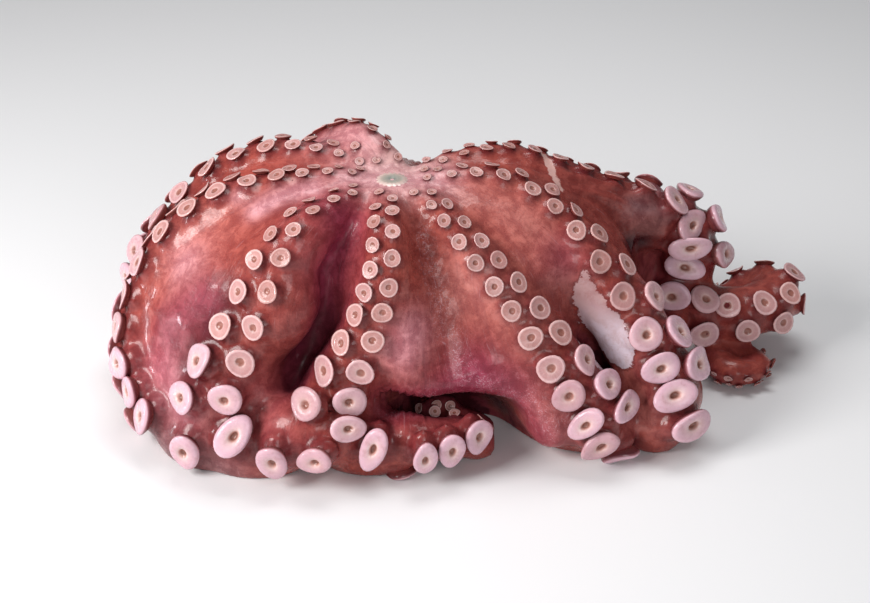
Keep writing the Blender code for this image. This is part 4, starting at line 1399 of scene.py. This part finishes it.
class Finish:
    """A material of one Principled shader, with the nodes that feed it."""

    def __init__(self, name):
        self.material = bpy.data.materials.new(name)
        self.material.use_nodes = True
        self.tree = self.material.node_tree
        self.shader = self.tree.nodes["Principled BSDF"]

    def _feed(self, socket, value):
        if isinstance(value, Wire):
            self.tree.links.new(value.socket, socket)
        elif hasattr(socket.default_value, "__len__") and len(value) == 3:
            size = len(socket.default_value)
            socket.default_value = (*value, 1.0)[:size]
        else:
            socket.default_value = value

    def node(self, kind, settings=None, inputs=None, output=0):
        made = self.tree.nodes.new(kind)
        for name, value in (settings or {}).items():
            if name == "stops":
                while len(made.color_ramp.elements) < len(value):
                    made.color_ramp.elements.new(1.0)
                for element, (place, colour) in zip(made.color_ramp.elements, value):
                    element.position = place
                    element.color = (*colour, 1.0)
            else:
                setattr(made, name, value)
        for name, value in (inputs or {}).items():
            self._feed(made.inputs[name], value)
        return Wire(self, made.outputs[output])

    def attribute(self, name, output="Fac"):
        return self.node("ShaderNodeAttribute", {"attribute_name": name}, None, output)

    def noise(self, where, scale, detail=3.0, roughness=0.5, distortion=0.0):
        inputs = {
            "Vector": where, "Scale": scale, "Detail": detail, "Roughness": roughness,
            "Distortion": distortion,
        }
        return self.node("ShaderNodeTexNoise", None, inputs)

    def mix(self, share, under, over, blend="MIX"):
        settings = {"data_type": "RGBA", "blend_type": blend}
        inputs = {"Factor": share, 6: under, 7: over}
        return self.node("ShaderNodeMix", settings, inputs, 2)

    def tinted(self, colour, factor):
        return self.mix(1.0, colour, factor, "MULTIPLY")

    def vector(self, operation, *values, output=0):
        inputs = dict(enumerate(values))
        return self.node("ShaderNodeVectorMath", {"operation": operation}, inputs, output)

    def bump(self, height, distance, strength=1.0, under=None):
        inputs = {"Height": height, "Distance": distance, "Strength": strength}
        if under is not None:
            inputs["Normal"] = under
        return self.node("ShaderNodeBump", None, inputs)

    def shade(self, **inputs):
        """Feeds the shader. Constants are set on its own sockets."""
        for name, value in inputs.items():
            self._feed(self.shader.inputs[name.replace("_", " ")], value)


# %% [markdown]
# ## Finish of the skin
#
# Over the painted colour lie fine mottles, darker freckles where the colour cells bunch, and
# thin pale scratches that run outwards from the mouth. Light goes a little way into the flesh,
# and a film of water over it all gives sharp glints, so the shader has some subsurface and a
# coat. The bump is fine skin grain and pores: what is larger is already in the mesh.

# %% The skin's finish
def skin_finish():
    finish = Finish("octopus_skin_finish")
    where = finish.node("ShaderNodeTexCoord", None, None, "Object")
    tint = finish.attribute("tint", "Color")
    foot, torn, strip, hollow, speck, worn = map(
        finish.attribute, ("foot", "torn", "strip", "hollow", "speck", "worn")
    )

    from_mouth = finish.vector("SUBTRACT", where, tuple(Vector(MOUTH) + TO_CENTRE))
    level = finish.vector("MULTIPLY", from_mouth, (1.0, 1.0, 0.0))
    round_mouth = finish.vector("MULTIPLY", finish.vector("NORMALIZE", level), (0.09, 0.09, 0.0))
    reach = finish.vector("LENGTH", from_mouth, output="Value")
    outwards = finish.node("ShaderNodeCombineXYZ", None, {"Z": reach * 0.07})
    radial = finish.vector("ADD", round_mouth, outwards)

    mottle = finish.noise(where, 150.0, 6.0, 0.70, 0.4)
    grain = finish.noise(where, 620.0, 4.0, 0.6)
    cells = finish.noise(where, 1500.0, 2.0, 0.5)
    streaks = finish.noise(radial, 900.0, 3.0, 0.6)
    wide_streaks = finish.noise(radial, 260.0, 3.0, 0.55)

    darker = finish.tinted(tint, (0.72, 0.58, 0.60))
    lighter = finish.tinted(tint, (1.16, 1.20, 1.17))
    colour = finish.mix(mottle.between(0.36, 0.66), darker, lighter)
    freckles = cells.between(0.56, 0.70) * mottle.between(0.62, 0.40)
    colour = finish.mix(freckles * 0.60, colour, finish.tinted(tint, (0.45, 0.30, 0.34)))
    bands = wide_streaks.between(0.52, 0.74) * 0.38
    colour = finish.mix(bands, colour, finish.tinted(tint, (0.55, 0.42, 0.50)))
    # Pale scratches, stronger along the lines above: real scratches on the creases, painted glints
    # on the front hem.
    scratches = streaks.between(0.64, 0.72) * (1.0 - foot)
    colour = finish.mix(scratches * (0.16 + 0.20 * worn), colour, (0.60, 0.38, 0.42))
    # Pale lilac smears along the same lines: scuffs on the creases, painted glints on the front
    # hem.
    smears = finish.noise(where, 900.0, 3.0, 0.6, 1.5)
    rubs_and_glints = smears.between(0.54, 0.62) * mottle.between(0.40, 0.56)
    colour = finish.mix(rubs_and_glints * worn * 0.30, colour, (0.72, 0.52, 0.60))
    colour = finish.mix(speck.between(0.0034, 0.0012) * 0.35, colour, (0.74, 0.46, 0.44))
    colour = finish.mix(speck.between(0.0010, 0.0006) * 0.9, colour, (0.03, 0.012, 0.012))
    colour = finish.mix(grain.between(0.62, 0.76) * 0.08, colour, (0.60, 0.34, 0.34))

    ragged = (mottle - 0.5) * 0.010 + (grain - 0.5) * 0.0030
    torn_edge = torn + ragged
    height = finish.node("ShaderNodeSeparateXYZ", None, {"Vector": where}, 2)
    flesh_tone = finish.mix(height.between(0.078, 0.052), (0.42, 0.215, 0.215), (0.74, 0.62, 0.70))
    patchy = mottle.between(0.60, 0.40) * 0.55
    flesh_tone = finish.mix(patchy, flesh_tone, (0.50, 0.32, 0.32))
    flesh_tone = finish.mix(streaks.between(0.55, 0.75) * 0.4, flesh_tone, (0.50, 0.36, 0.35))
    inside_tear = torn_edge.between(0.0006, -0.0002)
    dark_rim = torn_edge.between(0.0022, 0.0008)
    colour = finish.mix(dark_rim * 0.7, colour, (0.16, 0.03, 0.03))
    colour = finish.mix(inside_tear, colour, flesh_tone)
    inside_strip = (strip + ragged * 0.5).between(0.0005, -0.0003)
    colour = finish.mix(inside_strip * 0.85, colour, SCAR)

    wet = mottle.between(0.30, 0.70)
    pores = finish.bump(cells, 0.00015, 0.4)
    folds = finish.bump(streaks, 0.00035, 0.5, pores)
    normal = finish.bump(grain, 0.00030, 0.5, folds)
    finish.shade(
        Base_Color=colour,
        Roughness=0.30 - 0.12 * wet + 0.30 * hollow,
        Normal=normal,
        Coat_Weight=(0.06 + 0.30 * wet) * (1.0 - hollow.between(0.10, 0.5)),
        Coat_Roughness=0.05,
        Specular_IOR_Level=0.28,
        Subsurface_Weight=0.06,
        Subsurface_Radius=(1.0, 0.35, 0.25),
        Subsurface_Scale=0.004,
        IOR=1.40,
    )
    return finish.material


# %% [markdown]
# ## Finish of the suckers
#
# The small suckers have a beige face behind a peach rim, the large ones are lilac pink with
# fine grooves that run in to a cream ring and a brown dimple, and all have a dark line under
# the rim, partly the stalk's own dark red and partly painted shade under the rim. Two ramps
# give the two schemes from the stalk to the dimple, and "tone" blends them.

# %% The suckers' finish
def sucker_finish():
    finish = Finish("sucker_finish")
    where = finish.node("ShaderNodeTexCoord", None, None, "Object")
    zone = finish.attribute("zone")
    tone = finish.attribute("tone")
    shade = finish.attribute("shade")
    spoke = finish.attribute("spoke", "Vector")
    # In both ramps the dark band just under the rim is partly the stalk's colour and partly painted
    # shade.
    small_stops = (
        (0.00, (0.30, 0.060, 0.045)), (0.22, (0.13, 0.022, 0.022)), (0.32, (0.22, 0.055, 0.045)),
        (0.38, (0.68, 0.38, 0.36)), (0.52, (0.76, 0.49, 0.47)), (0.59, (0.50, 0.24, 0.22)),
        (0.76, (0.55, 0.28, 0.26)), (0.82, (0.64, 0.38, 0.36)), (0.88, (0.28, 0.10, 0.078)),
        (1.00, (0.34, 0.135, 0.105)),
    )
    large_stops = (
        (0.00, (0.24, 0.055, 0.050)), (0.23, (0.13, 0.028, 0.034)), (0.32, (0.34, 0.13, 0.15)),
        (0.38, (0.70, 0.44, 0.51)), (0.58, (0.68, 0.42, 0.50)), (0.74, (0.71, 0.46, 0.50)),
        (0.82, (0.78, 0.56, 0.55)), (0.88, (0.56, 0.30, 0.26)), (0.94, (0.26, 0.105, 0.08)),
        (1.00, (0.32, 0.14, 0.11)),
    )
    small = finish.node("ShaderNodeValToRGB", {"stops": small_stops}, {"Fac": zone})
    large = finish.node("ShaderNodeValToRGB", {"stops": large_stops}, {"Fac": zone})
    colour = finish.mix(tone, small, large)
    seed = finish.node("ShaderNodeCombineXYZ", None, {"Z": shade * 9.0})
    spokes = finish.noise(finish.vector("ADD", spoke, seed), 11.0, 4.0, 0.65)
    blotches = finish.noise(where, 260.0, 4.0, 0.6)
    on_face = zone.between(0.42, 0.50) * zone.between(0.88, 0.80)
    colour = finish.mix(on_face * spokes.between(0.50, 0.72) * 0.22, colour, (0.74, 0.52, 0.50))
    colour = finish.mix(on_face * blotches.between(0.50, 0.72) * 0.35, colour, (0.42, 0.18, 0.17))
    colour = finish.mix(shade.between(0.2, 1.0) * 0.35, colour, (0.36, 0.14, 0.115))
    normal = finish.bump(spokes * on_face, 0.00035, 0.7)
    normal = finish.bump(blotches, 0.00030, 0.4, normal)
    finish.shade(
        Base_Color=colour,
        Roughness=0.32 - 0.10 * blotches,
        Normal=normal,
        Coat_Weight=0.35,
        Coat_Roughness=0.06,
        Specular_IOR_Level=0.35,
        Subsurface_Weight=0.10,
        Subsurface_Radius=(1.0, 0.45, 0.40),
        Subsurface_Scale=0.004,
        IOR=1.40,
    )
    return finish.material


# %% [markdown]
# ## Finish of the mouth
#
# Cream lips, and inside them thin grey-green skin with a darker spot where the beak shows
# through.

# %% The mouth's finish
def mouth_finish():
    finish = Finish("mouth_finish")
    where = finish.node("ShaderNodeTexCoord", None, None, "Object")
    zone = finish.attribute("zone")
    stops = (
        (0.0, (0.76, 0.50, 0.48)), (0.15, (0.76, 0.54, 0.50)), (0.34, (0.62, 0.47, 0.42)),
        (0.52, (0.40, 0.36, 0.31)), (0.80, (0.27, 0.28, 0.25)), (1.0, (0.14, 0.15, 0.14)),
    )
    colour = finish.node("ShaderNodeValToRGB", {"stops": stops}, {"Fac": zone})
    blotches = finish.noise(where, 700.0, 4.0, 0.6)
    colour = finish.mix(blotches.between(0.45, 0.70) * 0.4, colour, (0.52, 0.50, 0.44))
    finish.shade(
        Base_Color=colour,
        Roughness=0.30,
        Normal=finish.bump(blotches, 0.0003, 0.6),
        Coat_Weight=0.6,
        Coat_Roughness=0.08,
        Subsurface_Weight=0.12,
        Subsurface_Radius=(1.0, 0.6, 0.5),
        Subsurface_Scale=0.003,
        IOR=1.40,
    )
    return finish.material


def dress(item, material):
    item.data.materials.clear()
    item.data.materials.append(material)


dress(skin, skin_finish())
dress(mouth, mouth_finish())
cups = sucker_finish()
for piece in sucker_pieces:
    dress(piece, cups)

# %% [markdown]
# ## Joining it to the frame
#
# The animal has no joints, so every piece rides on the one body. Together they stand for the
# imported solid, which is then hidden. First they are all moved to the frame's middle.

# %% Riding on the frame
pieces = [skin, mouth] + sucker_pieces
for piece in pieces:
    piece.data.transform(Matrix.Translation(TO_CENTRE))
    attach(piece, "root")
    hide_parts("octopus")
print(len(pieces), "pieces,", sum(map(triangles, pieces)), "triangles")

# %% [markdown]
# ## Floor and light
#
# The floor is plain and pale. The main light is a broad window at the upper left, low enough
# to throw the folds on the right of each arm into shadow. A weaker light above gives the small
# glint under each sucker, and a faint one from the viewer's side keeps the shadows open.

# %% The floor
deselect_all()
bpy.ops.mesh.primitive_plane_add(size=6.0, location=(0.0, 0.0, -0.0005))
floor = bpy.context.object
floor.name = "floor"
floor_finish = Finish("floor_finish")
floor_finish.shade(Base_Color=(0.86, 0.86, 0.87), Roughness=0.6)
dress(floor, floor_finish.material)

# %% The lights
def add_light(name, place, size, power, colour=(1.0, 1.0, 1.0)):
    data = bpy.data.lights.new(name, "AREA")
    data.shape = "RECTANGLE"
    data.size, data.size_y = size
    data.energy = power
    data.color = colour
    light = bpy.data.objects.new(name, data)
    light.location = place
    light.rotation_euler = (LOOK_AT - Vector(place)).to_track_quat("-Z", "Y").to_euler()
    bpy.context.scene.collection.objects.link(light)


add_light("window", (-0.75, -0.45, 0.62), (0.50, 0.40), 10.4, (1.0, 0.98, 0.97))
add_light("low_window", (-1.05, -0.18, 0.05), (0.12, 0.12), 1.6, (0.90, 0.94, 1.0))
add_light("ceiling", (0.05, 0.25, 1.00), (0.60, 0.40), 4.5)
add_light("front", (0.25, -1.10, 0.50), (0.50, 0.50), 3.4, (0.96, 0.98, 1.0))

world = bpy.data.worlds.new("room")
world.use_nodes = True
world.node_tree.nodes["Background"].inputs["Color"].default_value = (0.95, 0.97, 1.0, 1.0)
world.node_tree.nodes["Background"].inputs["Strength"].default_value = 0.15
bpy.context.scene.world = world
bpy.context.scene.view_settings.view_transform = "Standard"
